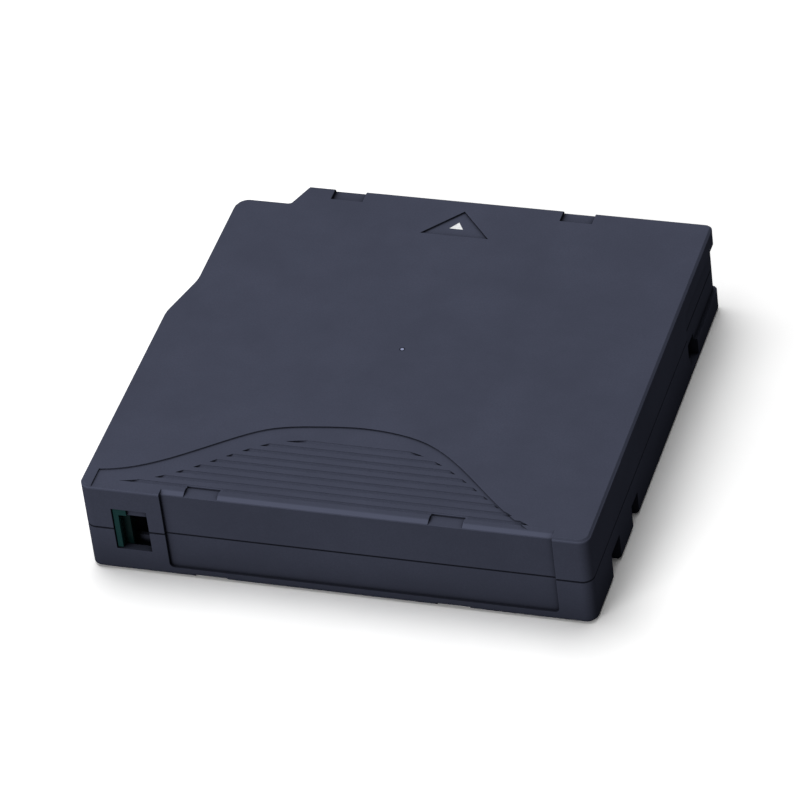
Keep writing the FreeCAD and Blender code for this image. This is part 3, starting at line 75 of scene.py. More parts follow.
class Finish:
    """A node material, built up from a few named moves."""

    def __init__(self, name, **constants):
        self.material = bpy.data.materials.new(name)
        self.material.use_nodes = True
        self.tree = self.material.node_tree
        self.shader = self.tree.nodes["Principled BSDF"]
        self.place = self.add("ShaderNodeTexCoord").outputs["Object"]
        self.normal = None
        for socket, number in constants.items():
            self.shader.inputs[socket.replace("_", " ")].default_value = number

    def add(self, kind, settings=None, **inputs):
        node = self.tree.nodes.new(kind)
        for key, value in (settings or {}).items():
            setattr(node, key, value)
        for key, value in inputs.items():
            self.set(node.inputs[key.replace("_", " ")], value)
        return node

    def set(self, socket, value):
        if isinstance(value, bpy.types.NodeSocket):
            self.tree.links.new(value, socket)
        else:
            socket.default_value = value

    def noise(self, scale, detail=2.0, roughness=0.5, place=None):
        node = self.add("ShaderNodeTexNoise", Vector=place or self.place, Scale=scale, Detail=detail,
                        Roughness=roughness)
        return node.outputs["Fac"]

    def stretched(self, x, y, z):
        """Object coordinates with each axis scaled, for grain that runs one way."""
        node = self.add("ShaderNodeMapping", Vector=self.place, Scale=(x, y, z))
        return node.outputs["Vector"]

    def parts(self, vector):
        """The X, Y and Z of a vector, by name."""
        return self.add("ShaderNodeSeparateXYZ", Vector=vector).outputs

    def math(self, operation, one, other=0.0):
        node = self.add("ShaderNodeMath", {"operation": operation})
        self.set(node.inputs[0], one)
        self.set(node.inputs[1], other)
        return node.outputs["Value"]

    def product(self, first, *others):
        for other in others:
            first = self.math("MULTIPLY", first, other)
        return first

    def distance(self, x, y, centre):
        """How far a place is from an upright axis."""
        across = self.math("SUBTRACT", x, centre[0])
        along = self.math("SUBTRACT", y, centre[1])
        squares = self.math("ADD", self.product(across, across), self.product(along, along))
        return self.math("SQRT", squares)

    def span(self, value, low, high, new_low=0.0, new_high=1.0):
        """Maps a range of a value onto another, held at both ends."""
        node = self.add("ShaderNodeMapRange", Value=value, From_Min=low, From_Max=high,
                        To_Min=new_low, To_Max=new_high)
        return node.outputs["Result"]

    def spread(self, noise, new_low=0.0, new_high=1.0):
        """Stretches the middle of a noise, where nearly all of it lies, over a range."""
        return self.span(noise, 0.3, 0.7, new_low, new_high)

    def mix(self, share, one, other):
        """Blends two colours, each a socket or a triple."""
        node = self.add("ShaderNodeMix", {"data_type": "RGBA"})
        # a Mix node has its colours at inputs 6 and 7 and the blend at output 2
        self.set(node.inputs[0], share)
        for number, colour in ((6, one), (7, other)):
            is_socket = isinstance(colour, bpy.types.NodeSocket)
            self.set(node.inputs[number], colour if is_socket else (*colour, 1.0))
        return node.outputs[2]

    def colour(self, value):
        self.set(self.shader.inputs["Base Color"], value)

    def roughness(self, value):
        self.set(self.shader.inputs["Roughness"], value)

    def soften(self, radius):
        """Rounds the look of sharp edges."""
        node = self.add("ShaderNodeBevel", {"samples": 6}, Radius=radius)
        self.normal = node.outputs["Normal"]
        self.set(self.shader.inputs["Normal"], self.normal)

    def bump(self, height, strength, depth):
        node = self.add("ShaderNodeBump", Height=height, Strength=strength, Distance=depth)
        if self.normal:
            self.set(node.inputs["Normal"], self.normal)
        self.normal = node.outputs["Normal"]
        self.set(self.shader.inputs["Normal"], self.normal)

    def crease(self, reach, low, high):
        """0 deep in grooves and gaps, 1 on the open faces."""
        node = self.add("ShaderNodeAmbientOcclusion", {"samples": 8, "only_local": False}, Distance=reach)
        return self.span(node.outputs["AO"], low, high)

    def edges(self, radius):
        """1 along sharp edges, 0 on the faces."""
        sharp = 0.9
        bevel = self.add("ShaderNodeBevel", {"samples": 6}, Radius=radius)
        face = self.add("ShaderNodeNewGeometry").outputs["Normal"]
        node = self.add("ShaderNodeVectorMath", {"operation": "DOT_PRODUCT"})
        self.set(node.inputs[0], bevel.outputs["Normal"])
        self.set(node.inputs[1], face)
        return self.span(node.outputs["Value"], sharp, 1.0, 1.0, 0.0)


def shade(colour, factor):
    return tuple(channel * factor for channel in colour)


def moulded(name, colour, roughness, grain, specular=0.3, wear=0.25, edge=0.2, hollow=1.6, marks=None):
    """Moulded plastic: fine spark-eroded grain, faint mottling, edges rubbed a little paler.

    Hollows that are narrower than a few times the hollow size are painted dark, as painted shade. Edge
    and hollow are in millimetres. Marks may change the worn and shaded colour and the share that is free
    of painted shade.
    """
    # painted shade, the colour that narrow hollows take where the crease mask is low
    painted_shade = shade(colour, 0.2)
    f = Finish(name, Specular_IOR_Level=specular)
    mottle = f.noise(70.0, 3.0, 0.6)
    fine = f.noise(2600.0, 2.0, 0.6)
    scuff = f.noise(300.0, 3.0)
    cloud = f.mix(f.spread(mottle), shade(colour, 0.93), shade(colour, 1.07))
    grained = f.mix(f.span(fine, 0.35, 0.65, 0.0, 0.35), cloud, shade(colour, 0.8))
    rub = f.product(f.edges(edge * MM), f.span(scuff, 0.35, 0.75, 0.2, wear * 2))
    worn_and_shaded = f.mix(rub, grained, shade(colour, 1.6))
    open_share = f.crease(hollow * MM, 0.35, 0.95)
    if marks:
        worn_and_shaded, open_share = marks(f, colour, worn_and_shaded, open_share)
    # painted shade in narrow hollows, laid on by the crease mask
    f.colour(f.mix(open_share, painted_shade, worn_and_shaded))
    uneven = f.math("ADD", f.spread(mottle, roughness - 0.04, roughness + 0.04),
                    f.span(fine, 0.35, 0.65, -0.03, 0.03))
    f.roughness(uneven)
    f.soften(edge * MM)
    f.bump(fine, grain, 0.02 * MM)
    return f.material


def switch_marks(f, colour, worn_and_shaded, open_share):
    """The slider's body stands in the shade behind the near wall."""
    wall_face = CAD_BOX[0][1]
    behind = f.span(f.parts(f.place)["Y"], wall_face + 1.1 * MM, wall_face + 2.0 * MM, 0.0, 0.9)
    return f.mix(behind, worn_and_shaded, shade(colour, 0.15)), open_share


def inner_share(f, value, low, high, start, end):
    """0 up to the start inside of either limit, 1 past the end."""
    from_low = f.span(value, low + start, low + end)
    from_high = f.span(value, high - end, high - start, 1.0, 0.0)
    return f.product(from_low, from_high)


def inside_shade_share(f, place):
    """1 between the walls of the case, where the inside is painted in shade, 0 on its outside."""
    low, high = CAD_BOX
    return f.product(
        inner_share(f, place["X"], low[0], high[0], 1.9 * MM, 2.2 * MM),
        inner_share(f, place["Y"], low[1], high[1], 1.8 * MM, 2.2 * MM),
        inner_share(f, place["Z"], low[2], high[2], 1.6 * MM, 2.2 * MM),
    )


def seam_shade_share(f, place):
    """1 on the line where the two halves meet, which is painted dark as the shade in the seam."""
    half_line = 0.17 * MM
    blur = 0.08 * MM
    away = f.math("ABSOLUTE", f.math("SUBTRACT", place["Z"], SEAM_Z))
    return f.span(away, half_line, half_line + blur, 0.9, 0.0)


def gate_mark(f, place, colour, worn_and_shaded):
    """A round dent, painted as a darker disc of shade, with a pale scar in it, where the plastic entered
    the mould.
    """
    dent_radius = 0.55 * MM
    scar_radius = 0.30 * MM
    on_top = f.math("GREATER_THAN", place["Z"], CASE_TOP - 0.05 * MM)
    radius = f.distance(place["X"], place["Y"], GATE)
    dent = f.product(on_top, f.span(radius, dent_radius, dent_radius + 0.13 * MM, 1.0, 0.0))
    scar = f.product(on_top, f.span(radius, scar_radius, scar_radius + 0.10 * MM, 1.0, 0.0))
    # painted shade of the dent
    worn_and_shaded = f.mix(dent, worn_and_shaded, shade(colour, 0.35))
    return f.mix(scar, worn_and_shaded, shade(colour, 5.0))


def groove_light_share(f, place, in_relief):
    """1 on the floors of the grip's grooves, which get painted light, paler than the plastic, so that the
    ribs read softly.
    """
    grip_depth = 0.32 * MM
    blur = 0.13 * MM
    in_grip = f.span(place["Y"], RIBS_END - 1.0 * MM, RIBS_END, 1.0, 0.0)
    sunken = f.span(place["Z"], CASE_TOP - grip_depth - blur, CASE_TOP - grip_depth, 1.0, 0.0)
    return f.product(in_grip, sunken, in_relief)


def shade_free_share(f, place, in_relief):
    """How far the painted shade of hollows is kept off the top face and off the whole of the grip."""
    tilt = f.parts(f.add("ShaderNodeNewGeometry").outputs["Normal"])["Z"]
    upward = f.span(tilt, 0.3, 0.7, 0.0, 0.7)
    in_grip = f.span(place["Y"], RIBS_END - 3.5 * MM, RIBS_END - 1.5 * MM, 0.8, 0.0)
    return f.product(in_relief, f.math("MAXIMUM", upward, in_grip))


def case_marks(f, colour, worn_and_shaded, open_share):
    """Painted shade in the seam, gate mark with the painted shade of its dent, painted shade inside,
    painted light on the groove floors, painted shade in wide hollows, and a top kept free of painted
    shade.
    """
    relief = 0.8 * MM
    wide_hollow = 12.0 * MM
    place = f.parts(f.place)
    in_relief = f.math("GREATER_THAN", place["Z"], CASE_TOP - relief)
    # painted shade along the seam between the two halves
    worn_and_shaded = f.mix(seam_shade_share(f, place), worn_and_shaded, shade(colour, 0.2))
    worn_and_shaded = gate_mark(f, place, colour, worn_and_shaded)
    # painted shade on the inside of the case
    worn_and_shaded = f.mix(inside_shade_share(f, place), worn_and_shaded, shade(colour, 0.3))
    # painted light on the groove floors, which lifts their shade
    worn_and_shaded = f.mix(groove_light_share(f, place, in_relief), worn_and_shaded, shade(colour, 1.35))
    # painted shade in wide hollows, which also darkens the faces towards the floor
    worn_and_shaded = f.mix(f.crease(wide_hollow, 0.3, 0.95), shade(colour, 0.45), worn_and_shaded)
    # the top face and the grip are kept free of the painted shade of hollows
    return worn_and_shaded, f.math("MAXIMUM", open_share, shade_free_share(f, place, in_relief))


def satin(name, colour, roughness):
    """Smooth natural plastic with faint flow marks and fine specks."""
    f = Finish(name, Specular_IOR_Level=0.5, Subsurface_Weight=0.08, Subsurface_Scale=0.5 * MM)
    flow = f.noise(160.0, 4.0, 0.55)
    speck = f.noise(1500.0, 2.0)
    f.colour(f.mix(f.spread(flow), shade(colour, 0.95), shade(colour, 1.03)))
    f.roughness(f.spread(flow, roughness - 0.05, roughness + 0.07))
    f.soften(0.15 * MM)
    f.bump(speck, 0.08, 0.01 * MM)
    return f.material


def steel(name, colour, roughness, stretch, scale=1.0):
    """Metal with fine drawn or turned lines, along the axis that is stretched least."""
    f = Finish(name, Metallic=1.0)
    lines = f.noise(1200.0 * scale, 3.0, 0.6, f.stretched(*stretch))
    stain = f.noise(200.0, 3.0, 0.6)
    f.colour(f.mix(f.spread(stain), shade(colour, 0.9), shade(colour, 1.05)))
    f.roughness(f.spread(lines, roughness - 0.07, roughness + 0.1))
    f.bump(lines, 0.15, 0.004 * MM)
    return f.material


def turned_steel(name, colour, roughness, axis_x):
    """Stamped and turned steel: rings about an upright axis."""
    f = Finish(name, Metallic=1.0)
    rings = ring_noise(f, axis_x, 3000.0)
    stain = f.noise(120.0, 3.0, 0.6)
    f.colour(f.mix(f.spread(stain), shade(colour, 0.88), shade(colour, 1.06)))
    f.roughness(f.spread(rings, roughness - 0.06, roughness + 0.1))
    f.bump(rings, 0.25, 0.006 * MM)
    return f.material


def ring_noise(f, axis_x, scale):
    """Noise that changes only with the distance from an upright axis."""
    place = f.parts(f.place)
    radius = f.distance(place["X"], place["Y"], (axis_x, 0.0))
    node = f.add("ShaderNodeTexNoise", {"noise_dimensions": "1D"}, W=radius, Scale=scale, Detail=3.0,
                 Roughness=0.7)
    return node.outputs["Fac"]


def wound(name, colour, axis_x):
    """Tape seen on edge: countless turns, some a little proud, with the dark gloss of its outside."""
    f = Finish(name, Specular_IOR_Level=0.5)
    fine = ring_noise(f, axis_x, 9000.0)
    broad = ring_noise(f, axis_x, 700.0)
    both = f.math("ADD", f.product(fine, 0.5), f.product(broad, 0.5))
    f.colour(f.mix(f.span(both, 0.35, 0.65), shade(colour, 0.7), shade(colour, 1.5)))
    f.roughness(f.span(both, 0.35, 0.65, 0.22, 0.4))
    f.bump(both, 0.3, 0.02 * MM)
    return f.material


def film(name, colour):
    """Thin glossy film or lacquer with long faint streaks."""
    f = Finish(name, Specular_IOR_Level=0.5, Coat_Weight=0.3, Coat_Roughness=0.1)
    streak = f.noise(900.0, 2.0, 0.5, f.stretched(0.1, 0.1, 3.0))
    f.colour(f.mix(f.spread(streak), shade(colour, 0.85), shade(colour, 1.15)))
    f.roughness(f.spread(streak, 0.2, 0.3))
    f.bump(streak, 0.1, 0.005 * MM)
    return f.material


def board(name, colour):
    """Glass-fibre board: the weave shows faintly through the coating."""
    f = Finish(name, Specular_IOR_Level=0.5, Coat_Weight=0.4, Coat_Roughness=0.15)
    threads = []
    for direction, scale in (("X", 520.0), ("Z", 740.0)):
        wave = f.add("ShaderNodeTexWave", {"bands_direction": direction}, Vector=f.place, Scale=scale,
                     Distortion=0.6)
        threads.append(wave.outputs["Fac"])
    weave = f.product(*threads)
    f.colour(f.mix(weave, shade(colour, 0.8), shade(colour, 1.3)))
    f.roughness(f.span(weave, 0.0, 1.0, 0.3, 0.4))
    f.bump(weave, 0.1, 0.01 * MM)
    return f.material


def ink(name, colour):
    """Pad-printed ink, a little thin in places."""
    f = Finish(name, Specular_IOR_Level=0.3)
    thin = f.noise(1100.0, 3.0, 0.6)
    f.colour(f.mix(f.span(thin, 0.3, 0.6), shade(colour, 0.82), colour))
    f.roughness(f.spread(thin, 0.45, 0.6))
    f.bump(thin, 0.1, 0.005 * MM)
    return f.material


hub_low, hub_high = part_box("reel_hub")
REEL_X = (hub_low.x + hub_high.x) / 2

# where the case's marks lie
CASE_TOP = CAD_BOX[1][2]
SEAM_Z = CASE_TOP / 2
GATE = (-0.15 * MM, 0.85 * MM)
RIBS_END = -25.0 * MM

SKIN = {
    "case_plastic": moulded("case_plastic", (0.060, 0.066, 0.098), 0.52, 0.28, specular=0.0,
                            marks=case_marks),
    "door_plastic": moulded("door_plastic", (0.034, 0.039, 0.058), 0.45, 0.12, specular=0.15,
                            wear=0.15),
    "switch_plastic": moulded("switch_plastic", (0.010, 0.040, 0.041), 0.4, 0.08, specular=0.03,
                              wear=0.1, edge=0.12, hollow=5.0, marks=switch_marks),
    "clip_plastic": moulded("clip_plastic", (0.22, 0.22, 0.23), 0.45, 0.06, specular=0.5, edge=0.1),
    "reel_plastic": satin("reel_plastic", (0.60, 0.60, 0.58), 0.38),
    "brake_plastic": satin("brake_plastic", (0.74, 0.74, 0.72), 0.35),
    "spider_plastic": satin("spider_plastic", (0.68, 0.68, 0.66), 0.38),
    "wound_tape": wound("wound_tape", (0.030, 0.026, 0.024), REEL_X),
    "leader_film": film("leader_film", (0.045, 0.033, 0.027)),
    "board_green": board("board_green", (0.015, 0.105, 0.045)),
    "board_trace": film("board_trace", (0.05, 0.20, 0.08)),
    "chip_resin": moulded("chip_resin", (0.018, 0.018, 0.020), 0.55, 0.2, wear=0.1, edge=0.1),
    "screw_steel": steel("screw_steel", (0.16, 0.16, 0.17), 0.42, (1.0, 1.0, 1.0)),
    "spring_steel": steel("spring_steel", (0.55, 0.56, 0.58), 0.24, (1.0, 1.0, 1.0), 2.0),
    "pin_steel": steel("pin_steel", (0.60, 0.60, 0.61), 0.2, (1.0, 1.0, 6.0)),
    "plate_steel": turned_steel("plate_steel", (0.52, 0.52, 0.53), 0.26, REEL_X),
    "printed_white": ink("printed_white", (0.88, 0.89, 0.90)),
}


def dress(item, slot_name, skin=None):
    """Gives a piece its record slot and that slot's finish, or another one."""
    item.data.materials.clear()
    item.data.materials.append(SKIN[skin or slot_name])
    return item


for subpart in frame["record"]["subparts"]:
    dress(NODES[subpart["node"]], subpart["material_slot"])


# ---------------------------------------------------------------- mesh helpers

def new_piece(name, mesh, slot_name, body, skin=None):
    """A dressed piece made here, which rides on a body of the record."""
    item = bpy.data.objects.new(name, mesh)
    bpy.context.scene.collection.objects.link(item)
    dress(item, slot_name, skin)
    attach(item, body)
    return item


def mesh_from(name, points, faces, smooth=True):
    mesh = bpy.data.meshes.new(name)
    mesh.from_pydata([tuple(point) for point in points], [], faces)
    mesh.validate()
    for polygon in mesh.polygons:
        polygon.use_smooth = smooth
    mesh.update()
    return mesh


def tube(name, path, radius, sides):
    """A round wire along a path, closed at both ends with a low dome."""
    points = []
    faces = []
    heading = (path[1] - path[0]).normalized()
    side = heading.orthogonal().normalized()
    last = len(path) - 1
    for i, place in enumerate(path):
        ahead = path[min(i + 1, last)] - path[max(i - 1, 0)]
        turn = heading.rotation_difference(ahead.normalized())
        side = turn @ side
        heading = ahead.normalized()
        other = heading.cross(side)
        for k in range(sides):
            angle = 2 * math.pi * k / sides
            points.append(place + (side * math.cos(angle) + other * math.sin(angle)) * radius)
    for i in range(last):
        for k in range(sides):
            n = (k + 1) % sides
            faces.append((i * sides + k, i * sides + n, (i + 1) * sides + n, (i + 1) * sides + k))
    start = len(points)
    dome = 0.4 * radius
    points.append(path[0] + (path[0] - path[1]).normalized() * dome)
    points.append(path[-1] + (path[-1] - path[-2]).normalized() * dome)
    for k in range(sides):
        n = (k + 1) % sides
        faces.append((start, n, k))
        faces.append((start + 1, last * sides + k, last * sides + n))
    return mesh_from(name, points, faces)


def rounded_path(corners, radius, steps):
    """Straight runs with each corner turned on an arc."""
    path = [corners[0]]
    for before, corner, after in zip(corners, corners[1:], corners[2:]):
        back = (before - corner).normalized()
        ahead = (after - corner).normalized()
        half_turn = (math.pi - back.angle(ahead)) / 2
        first = corner + back * radius * math.tan(half_turn)
        centre = corner + (back + ahead).normalized() * radius / math.cos(half_turn)
        axis = (first - centre).cross(ahead).normalized()
        for step in range(steps + 1):
            angle = 2 * half_turn * step / steps
            path.append(centre + Quaternion(axis, angle) @ (first - centre))
    path.append(corners[-1])
    return path


def helix(radius, rise, turns, end_turns, steps):
    """A coil spring's centre line, upright from the origin, with close dead turns at both ends."""
    end_rise = 0.35
    path = []
    count = int(turns * steps)
    share = end_turns / turns
    flat = end_rise * share
    for i in range(count + 1):
        t = i / count
        if t < share:
            height = flat * t / share
        elif t > 1 - share:
            height = 1 - flat * (1 - t) / share
        else:
            height = flat + (1 - 2 * flat) * (t - share) / (1 - 2 * share)
        angle = 2 * math.pi * turns * t
        path.append(Vector((radius * math.cos(angle), radius * math.sin(angle), rise * height)))
    return path


def slab(name, outline, low, high):
    """An upright prism over an outline."""
    count = len(outline)
    points = [(x, y, low) for x, y in outline] + [(x, y, high) for x, y in outline]
    faces = [tuple(range(count - 1, -1, -1)), tuple(range(count, 2 * count))]
    for i in range(count):
        n = (i + 1) % count
        faces.append((i, n, count + n, count + i))
    return mesh_from(name, points, faces, smooth=False)


def lathe(profile, sides):
    """Points and faces of a closed profile of radius and height turned about Z."""
    points = []
    faces = []
    rows = []
    for radius, height in profile:
        if radius == 0:
            rows.append([len(points)] * sides)
            points.append((0.0, 0.0, height))
            continue
        rows.append(list(range(len(points), len(points) + sides)))
        for k in range(sides):
            angle = 2 * math.pi * k / sides
            points.append((radius * math.cos(angle), radius * math.sin(angle), height))
    for low, high in zip(rows, rows[1:]):
        for k in range(sides):
            n = (k + 1) % sides
            face = dict.fromkeys((low[k], low[n], high[n], high[k]))
            faces.append(tuple(face))
    return points, faces


# ---------------------------------------------------------------- springs and wire


def door_spring():
    low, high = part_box("door_spring")
    wire = 0.4 * MM
    middle = (low + high) / 2
    radius = (high.x - low.x - wire) / 2
    length = high.y - low.y
    path = helix(radius, length - wire, turns=15, end_turns=1.5, steps=20)
    lay_down = Matrix.Rotation(math.radians(-90), 4, "X")
    start = Vector((middle.x, low.y + wire / 2, middle.z))
    mesh = tube("door_spring_wire", [start + lay_down @ point for point in path], wire / 2, 8)
    item = new_piece("door_spring_wire", mesh, "spring_steel", "case")
    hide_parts("door_spring")
    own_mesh(item)


def brake_spring():
    low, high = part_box("brake_spring")
    wire = 0.8 * MM
    radius = (high.x - low.x - wire) / 2
    height = high.z - low.z
    path = helix(radius, height - wire, turns=4.5, end_turns=1.0, steps=48)
    start = Vector((REEL_X, 0, low.z + wire / 2))
    mesh = tube("brake_spring_wire", [start + point for point in path], wire / 2, 10)
    item = new_piece("brake_spring_wire", mesh, "spring_steel", "case")
    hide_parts("brake_spring")
    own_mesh(item)


def pin_spring():
    """One wire: an arm under the pin, a post behind it and an arm over it."""
    low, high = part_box("pin_spring")
    pin_low, pin_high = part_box("leader_pin")
    radius = 0.3 * MM
    straight = 3.2 * MM
    bend = 1.0 * MM
    arm_x = low.x + radius
    post_x = high.x - radius
    knee = (pin_low.y + pin_high.y) / 2 + straight
    post_y = high.y - radius
    bottom = low.z + radius
    top = high.z - radius
    corners = [
        Vector((arm_x, low.y, bottom)), Vector((arm_x, knee, bottom)), Vector((post_x, post_y, bottom)),
        Vector((post_x, post_y, top)), Vector((arm_x, knee, top)), Vector((arm_x, low.y, top)),
    ]
    mesh = tube("pin_spring_wire", rounded_path(corners, bend, 8), radius, 12)
    item = new_piece("pin_spring_wire", mesh, "spring_steel", "case")
    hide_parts("pin_spring")


# ---------------------------------------------------------------- screws

HEAD_HEIGHT = 1.3 * MM
SHANK_RADIUS = 1.0 * MM


def head_mesh():
    """A pan head, its face at height 0, with a rounded rim."""
    radius = 1.9 * MM
    rim = 0.3 * MM
    rim_steps = 4
    profile = [(0, 0.0), (radius - rim, 0.0)]
    for step in range(1, rim_steps + 1):
        angle = math.pi / 2 * step / rim_steps
        profile.append((radius - rim + rim * math.sin(angle), rim - rim * math.cos(angle)))
    profile += [(radius, HEAD_HEIGHT), (SHANK_RADIUS, HEAD_HEIGHT), (0, HEAD_HEIGHT)]
    points, faces = lathe(profile, 48)
    return mesh_from("screw_body", points, faces)


def cross_mesh():
    """Two crossed wedges, the shape of the recess in a screw's head."""
    half_width = 0.32 * MM
    half_reach = 1.15 * MM
    depth = 0.85 * MM
    above = 0.3 * MM
    reach_left = 0.45
    width_left = 0.75
    cutter = bmesh.new()
    for turn in (0, 90):
        for vertex in bmesh.ops.create_cube(cutter, size=1.0)["verts"]:
            deep = vertex.co.z > 0
            reach = 2 * half_reach * (reach_left if deep else 1.0)
            width = 2 * half_width * (width_left if deep else 1.0)
            place = Vector((vertex.co.x * reach, vertex.co.y * width, depth if deep else -above))
            vertex.co = Matrix.Rotation(math.radians(turn), 3, "Z") @ place
    mesh = bpy.data.meshes.new("screw_cross")
    cutter.to_mesh(mesh)
    cutter.free()
    return mesh


def cut_mesh(body, tool):
    """One mesh with another cut out of it."""
    holders = []
    for mesh in (body, tool):
        holder = bpy.data.objects.new(mesh.name, mesh)
        bpy.context.scene.collection.objects.link(holder)
        holders.append(holder)
    modifier = holders[0].modifiers.new("cut", "BOOLEAN")
    modifier.object = holders[1]
    modifier.solver = "EXACT"
    modifier.use_self = True
    bpy.context.view_layer.update()
    evaluated = holders[0].evaluated_get(bpy.context.evaluated_depsgraph_get())
    shaped = bpy.data.meshes.new_from_object(evaluated)
    for holder in holders:
        bpy.data.objects.remove(holder)
    return shaped


def add_thread(mesh):
    """Adds a rolled thread that runs from the head to a point."""
    tip = 10.3 * MM
    pitch = 0.8 * MM
    root = 0.78 * MM
    crest_width = 5.0
    sides = 24
    rows = []
    level = HEAD_HEIGHT
    while level < tip - SHANK_RADIUS:
        row = []
        for k in range(sides):
            turn = k / sides
            wave = (level / pitch - turn) % 1.0
            crest = max(0.0, 1.0 - abs(wave - 0.5) * crest_width)
            radius = root + (SHANK_RADIUS - root) * crest
            angle = 2 * math.pi * turn
            row.append(mesh.verts.new((radius * math.cos(angle), radius * math.sin(angle), level)))
        rows.append(row)
        level += pitch / 8
    point = mesh.verts.new((0, 0, tip))
    start = mesh.verts.new((0, 0, HEAD_HEIGHT - 0.1 * MM))
    for low, high in zip(rows, rows[1:]):
        for k in range(sides):
            n = (k + 1) % sides
            mesh.faces.new((low[k], low[n], high[n], high[k]))
    for k in range(sides):
        n = (k + 1) % sides
        mesh.faces.new((rows[-1][k], rows[-1][n], point))
        mesh.faces.new((rows[0][n], rows[0][k], start))


def screw_mesh():
    """A pan-headed screw with a cross recess, head down at height 0."""
    joined = bmesh.new()
    joined.from_mesh(cut_mesh(head_mesh(), cross_mesh()))
    add_thread(joined)
    mesh = bpy.data.meshes.new("case_screw")
    joined.to_mesh(mesh)
    joined.free()
    return mesh


def screw_places():
    """The axes of the CAD screws, found from the tops of their shanks."""
    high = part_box("case_screws")[1]
    apart = 5 * MM
    places = []
    for vertex in NODES["case_screws"].data.vertices:
        at_tip = vertex.co.z > high.z - 0.01 * MM
        if at_tip and all((vertex.co.xy - place).length > apart for place in places):
            places.append(vertex.co.xy.copy())
    return places


def case_screws():
    """Four screws in one piece, each turned to a different stop."""
    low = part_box("case_screws")[0]
    pattern = screw_mesh()
    mesh = bmesh.new()
    for number, place in enumerate(screw_places()):
        copy = pattern.copy()
        stop = Matrix.Rotation(math.radians(17 + 53 * number), 4, "Z")
        copy.transform(Matrix.Translation((place.x, place.y, low.z)) @ stop)
        mesh.from_mesh(copy)
        bpy.data.meshes.remove(copy)
    joined = bpy.data.meshes.new("case_screw_set")
    mesh.to_mesh(joined)
    mesh.free()
    item = new_piece("case_screw_set", joined, "screw_steel", "case")
    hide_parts("case_screws")


# ---------------------------------------------------------------- memory board

def memory_traces():
    """The flat coil that frames the chip on the board, which leans at 45 degrees."""
    low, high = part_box("memory_board")
    lean = math.sqrt(2)
    thick = 0.8 * MM
    length = high.x - low.x
    width = (high.z - low.z) * lean - thick
    along = Vector((1, 0, 0))
    up = Vector((0, -1, 1)) / lean
    out = Vector((0, 1, 1)) / lean
    foot = Vector((low.x, high.y, low.z + thick / lean))
    loops = 6
    pitch = 0.5 * MM
    inset = 0.5 * MM
    half_trace = 0.14 * MM
    trace_height = 0.03 * MM
    clear = 0.002 * MM
    points = []
    faces = []
    for loop in range(loops):
        middle = inset + pitch * loop
        base = len(points)
        for lift in (clear, trace_height + clear):
            for ring in (middle - half_trace, middle + half_trace):
                for a, b in ((ring, ring), (length - ring, ring), (length - ring, width - ring),
                             (ring, width - ring)):
                    points.append(foot + along * a + up * b + out * lift)
        for k in range(4):
            n = (k + 1) % 4
            lo_out, lo_in, hi_out, hi_in = (base + 4 * row for row in range(4))
            faces.append((hi_out + k, hi_out + n, hi_in + n, hi_in + k))
            faces.append((lo_out + n, lo_out + k, lo_in + k, lo_in + n))
            faces.append((lo_out + k, lo_out + n, hi_out + n, hi_out + k))
            faces.append((lo_in + n, lo_in + k, hi_in + k, hi_in + n))
    mesh = mesh_from("memory_coil", points, faces, smooth=False)
    new_piece("memory_coil", mesh, "board_green", "case", "board_trace")


# ---------------------------------------------------------------- printing

def insertion_arrow():
    """The small printed triangle on the floor of the arrow recess."""
    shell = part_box("upper_shell")[1]
    floor = shell.z - 0.4 * MM
    clear = 0.002 * MM
    thick = 0.018 * MM
    base_y = shell.y - 9.3 * MM
    outline = [(-0.27 * MM, shell.y - 7.1 * MM), (-1.82 * MM, base_y), (1.1 * MM, base_y)]
    mesh = slab("printed_arrow", outline, floor + clear, floor + clear + thick)
    new_piece("printed_arrow", mesh, "case_plastic", "case", "printed_white")


door_spring()
brake_spring()
pin_spring()
case_screws()
memory_traces()
insertion_arrow()


# ---------------------------------------------------------------- floor, lights and camera

PLAIN_WHITE = 1.0
WORLD_LIGHT = 0.15
FLOOR_BOUNCE = 0.18
FLOOR_LIFT = 0.3


def grey(level):
    return (level, level, level)


def studio_floor():
    """White paper, seen white but giving back little light, so that the object's sides stay deep."""
    size = 3.0
    corners = [(-size, -size, 0), (size, -size, 0), (size, size, 0), (-size, size, 0)]
    floor = bpy.data.objects.new("floor", mesh_from("floor", corners, [(0, 1, 2, 3)]))
    bpy.context.scene.collection.objects.link(floor)
    floor.location.z = CAD_BOX[0][2] - 0.02 * MM
    f = Finish("floor_paper", Specular_IOR_Level=0.0, Roughness=0.9)
    path = f.add("ShaderNodeLightPath").outputs
    seen = f.math("MAXIMUM", path["Is Camera Ray"], path["Is Glossy Ray"])
    seen = f.math("MAXIMUM", seen, path["Is Transmission Ray"])
    paper = f.mix(f.spread(f.noise(60.0, 4.0, 0.6)), grey(0.97), grey(1.0))
    f.colour(f.mix(seen, grey(FLOOR_BOUNCE), paper))
    # a second white layer lifts the open floor to plain white and leaves the shadow its depth
    lift = f.add("ShaderNodeBsdfDiffuse", Color=f.mix(seen, grey(0.0), grey(FLOOR_LIFT)))
    both = f.add("ShaderNodeAddShader")
    f.set(both.inputs[0], f.shader.outputs["BSDF"])
    f.set(both.inputs[1], lift.outputs["BSDF"])
    f.set(f.tree.nodes["Material Output"].inputs["Surface"], both.outputs["Shader"])
    floor.data.materials.append(f.material)


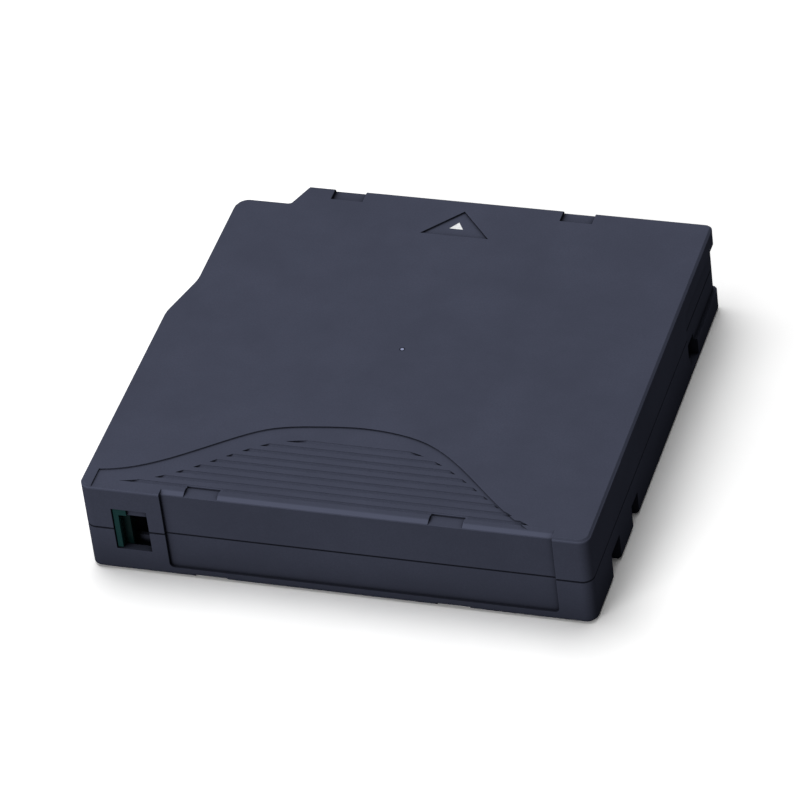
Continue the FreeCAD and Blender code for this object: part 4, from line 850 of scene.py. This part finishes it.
def studio_world():
    """White to the camera and to reflections, a faint even light for the rest."""
    world = bpy.data.worlds.new("studio")
    bpy.context.scene.world = world
    world.use_nodes = True
    tree = world.node_tree
    background = tree.nodes["Background"]
    path = tree.nodes.new("ShaderNodeLightPath").outputs
    seen = path["Is Camera Ray"]
    for ray in ("Is Glossy Ray", "Is Transmission Ray"):
        node = tree.nodes.new("ShaderNodeMath")
        node.operation = "MAXIMUM"
        tree.links.new(seen, node.inputs[0])
        tree.links.new(path[ray], node.inputs[1])
        seen = node.outputs["Value"]
    strength = tree.nodes.new("ShaderNodeMapRange")
    tree.links.new(seen, strength.inputs["Value"])
    strength.inputs["To Min"].default_value = WORLD_LIGHT
    strength.inputs["To Max"].default_value = PLAIN_WHITE
    background.inputs["Color"].default_value = (*grey(PLAIN_WHITE), 1.0)
    tree.links.new(strength.outputs["Result"], background.inputs["Strength"])


def area_light(name, place, size, power):
    """A white panel that faces the origin."""
    light = bpy.data.lights.new(name, "AREA")
    light.shape = "RECTANGLE"
    light.size, light.size_y = size
    light.energy = power
    item = bpy.data.objects.new(name, light)
    bpy.context.scene.collection.objects.link(item)
    item.location = place
    item.rotation_euler = (-Vector(place)).to_track_quat("-Z", "Y").to_euler()


def studio_camera(eye, aim, roll, lens):
    """A camera that looks from one place at another, turned about its own line of sight."""
    data = bpy.data.cameras.new("camera")
    data.lens = lens
    data.sensor_width = 36.0
    data.clip_start = 0.05
    camera = bpy.data.objects.new("camera", data)
    bpy.context.scene.collection.objects.link(camera)
    forward = (aim - eye).normalized()
    level = forward.cross(Vector((0, 0, 1))).normalized()
    below = forward.cross(level)
    right = level * math.cos(roll) + below * math.sin(roll)
    down = forward.cross(right)
    turn = Matrix((right, -down, -forward)).transposed().to_4x4()
    camera.matrix_world = Matrix.Translation(eye) @ turn
    bpy.context.scene.camera = camera


studio_floor()
studio_world()
area_light("overhead", place=(-0.25, 0.25, 1.1), size=(1.1, 1.1), power=11.8)
area_light("front_fill", place=(-0.5, -1.2, 0.4), size=(0.7, 0.4), power=8.6)
# fitted to the photograph's outline, then aimed at the object's middle and zoomed
studio_camera(
    eye=Vector((0.313869, -0.818715, 0.716202)),
    aim=Vector((-0.001234, -0.001316, 0.009723)),
    roll=math.radians(7.505),
    lens=247.7,
)

bpy.context.scene.view_settings.view_transform = "Standard"
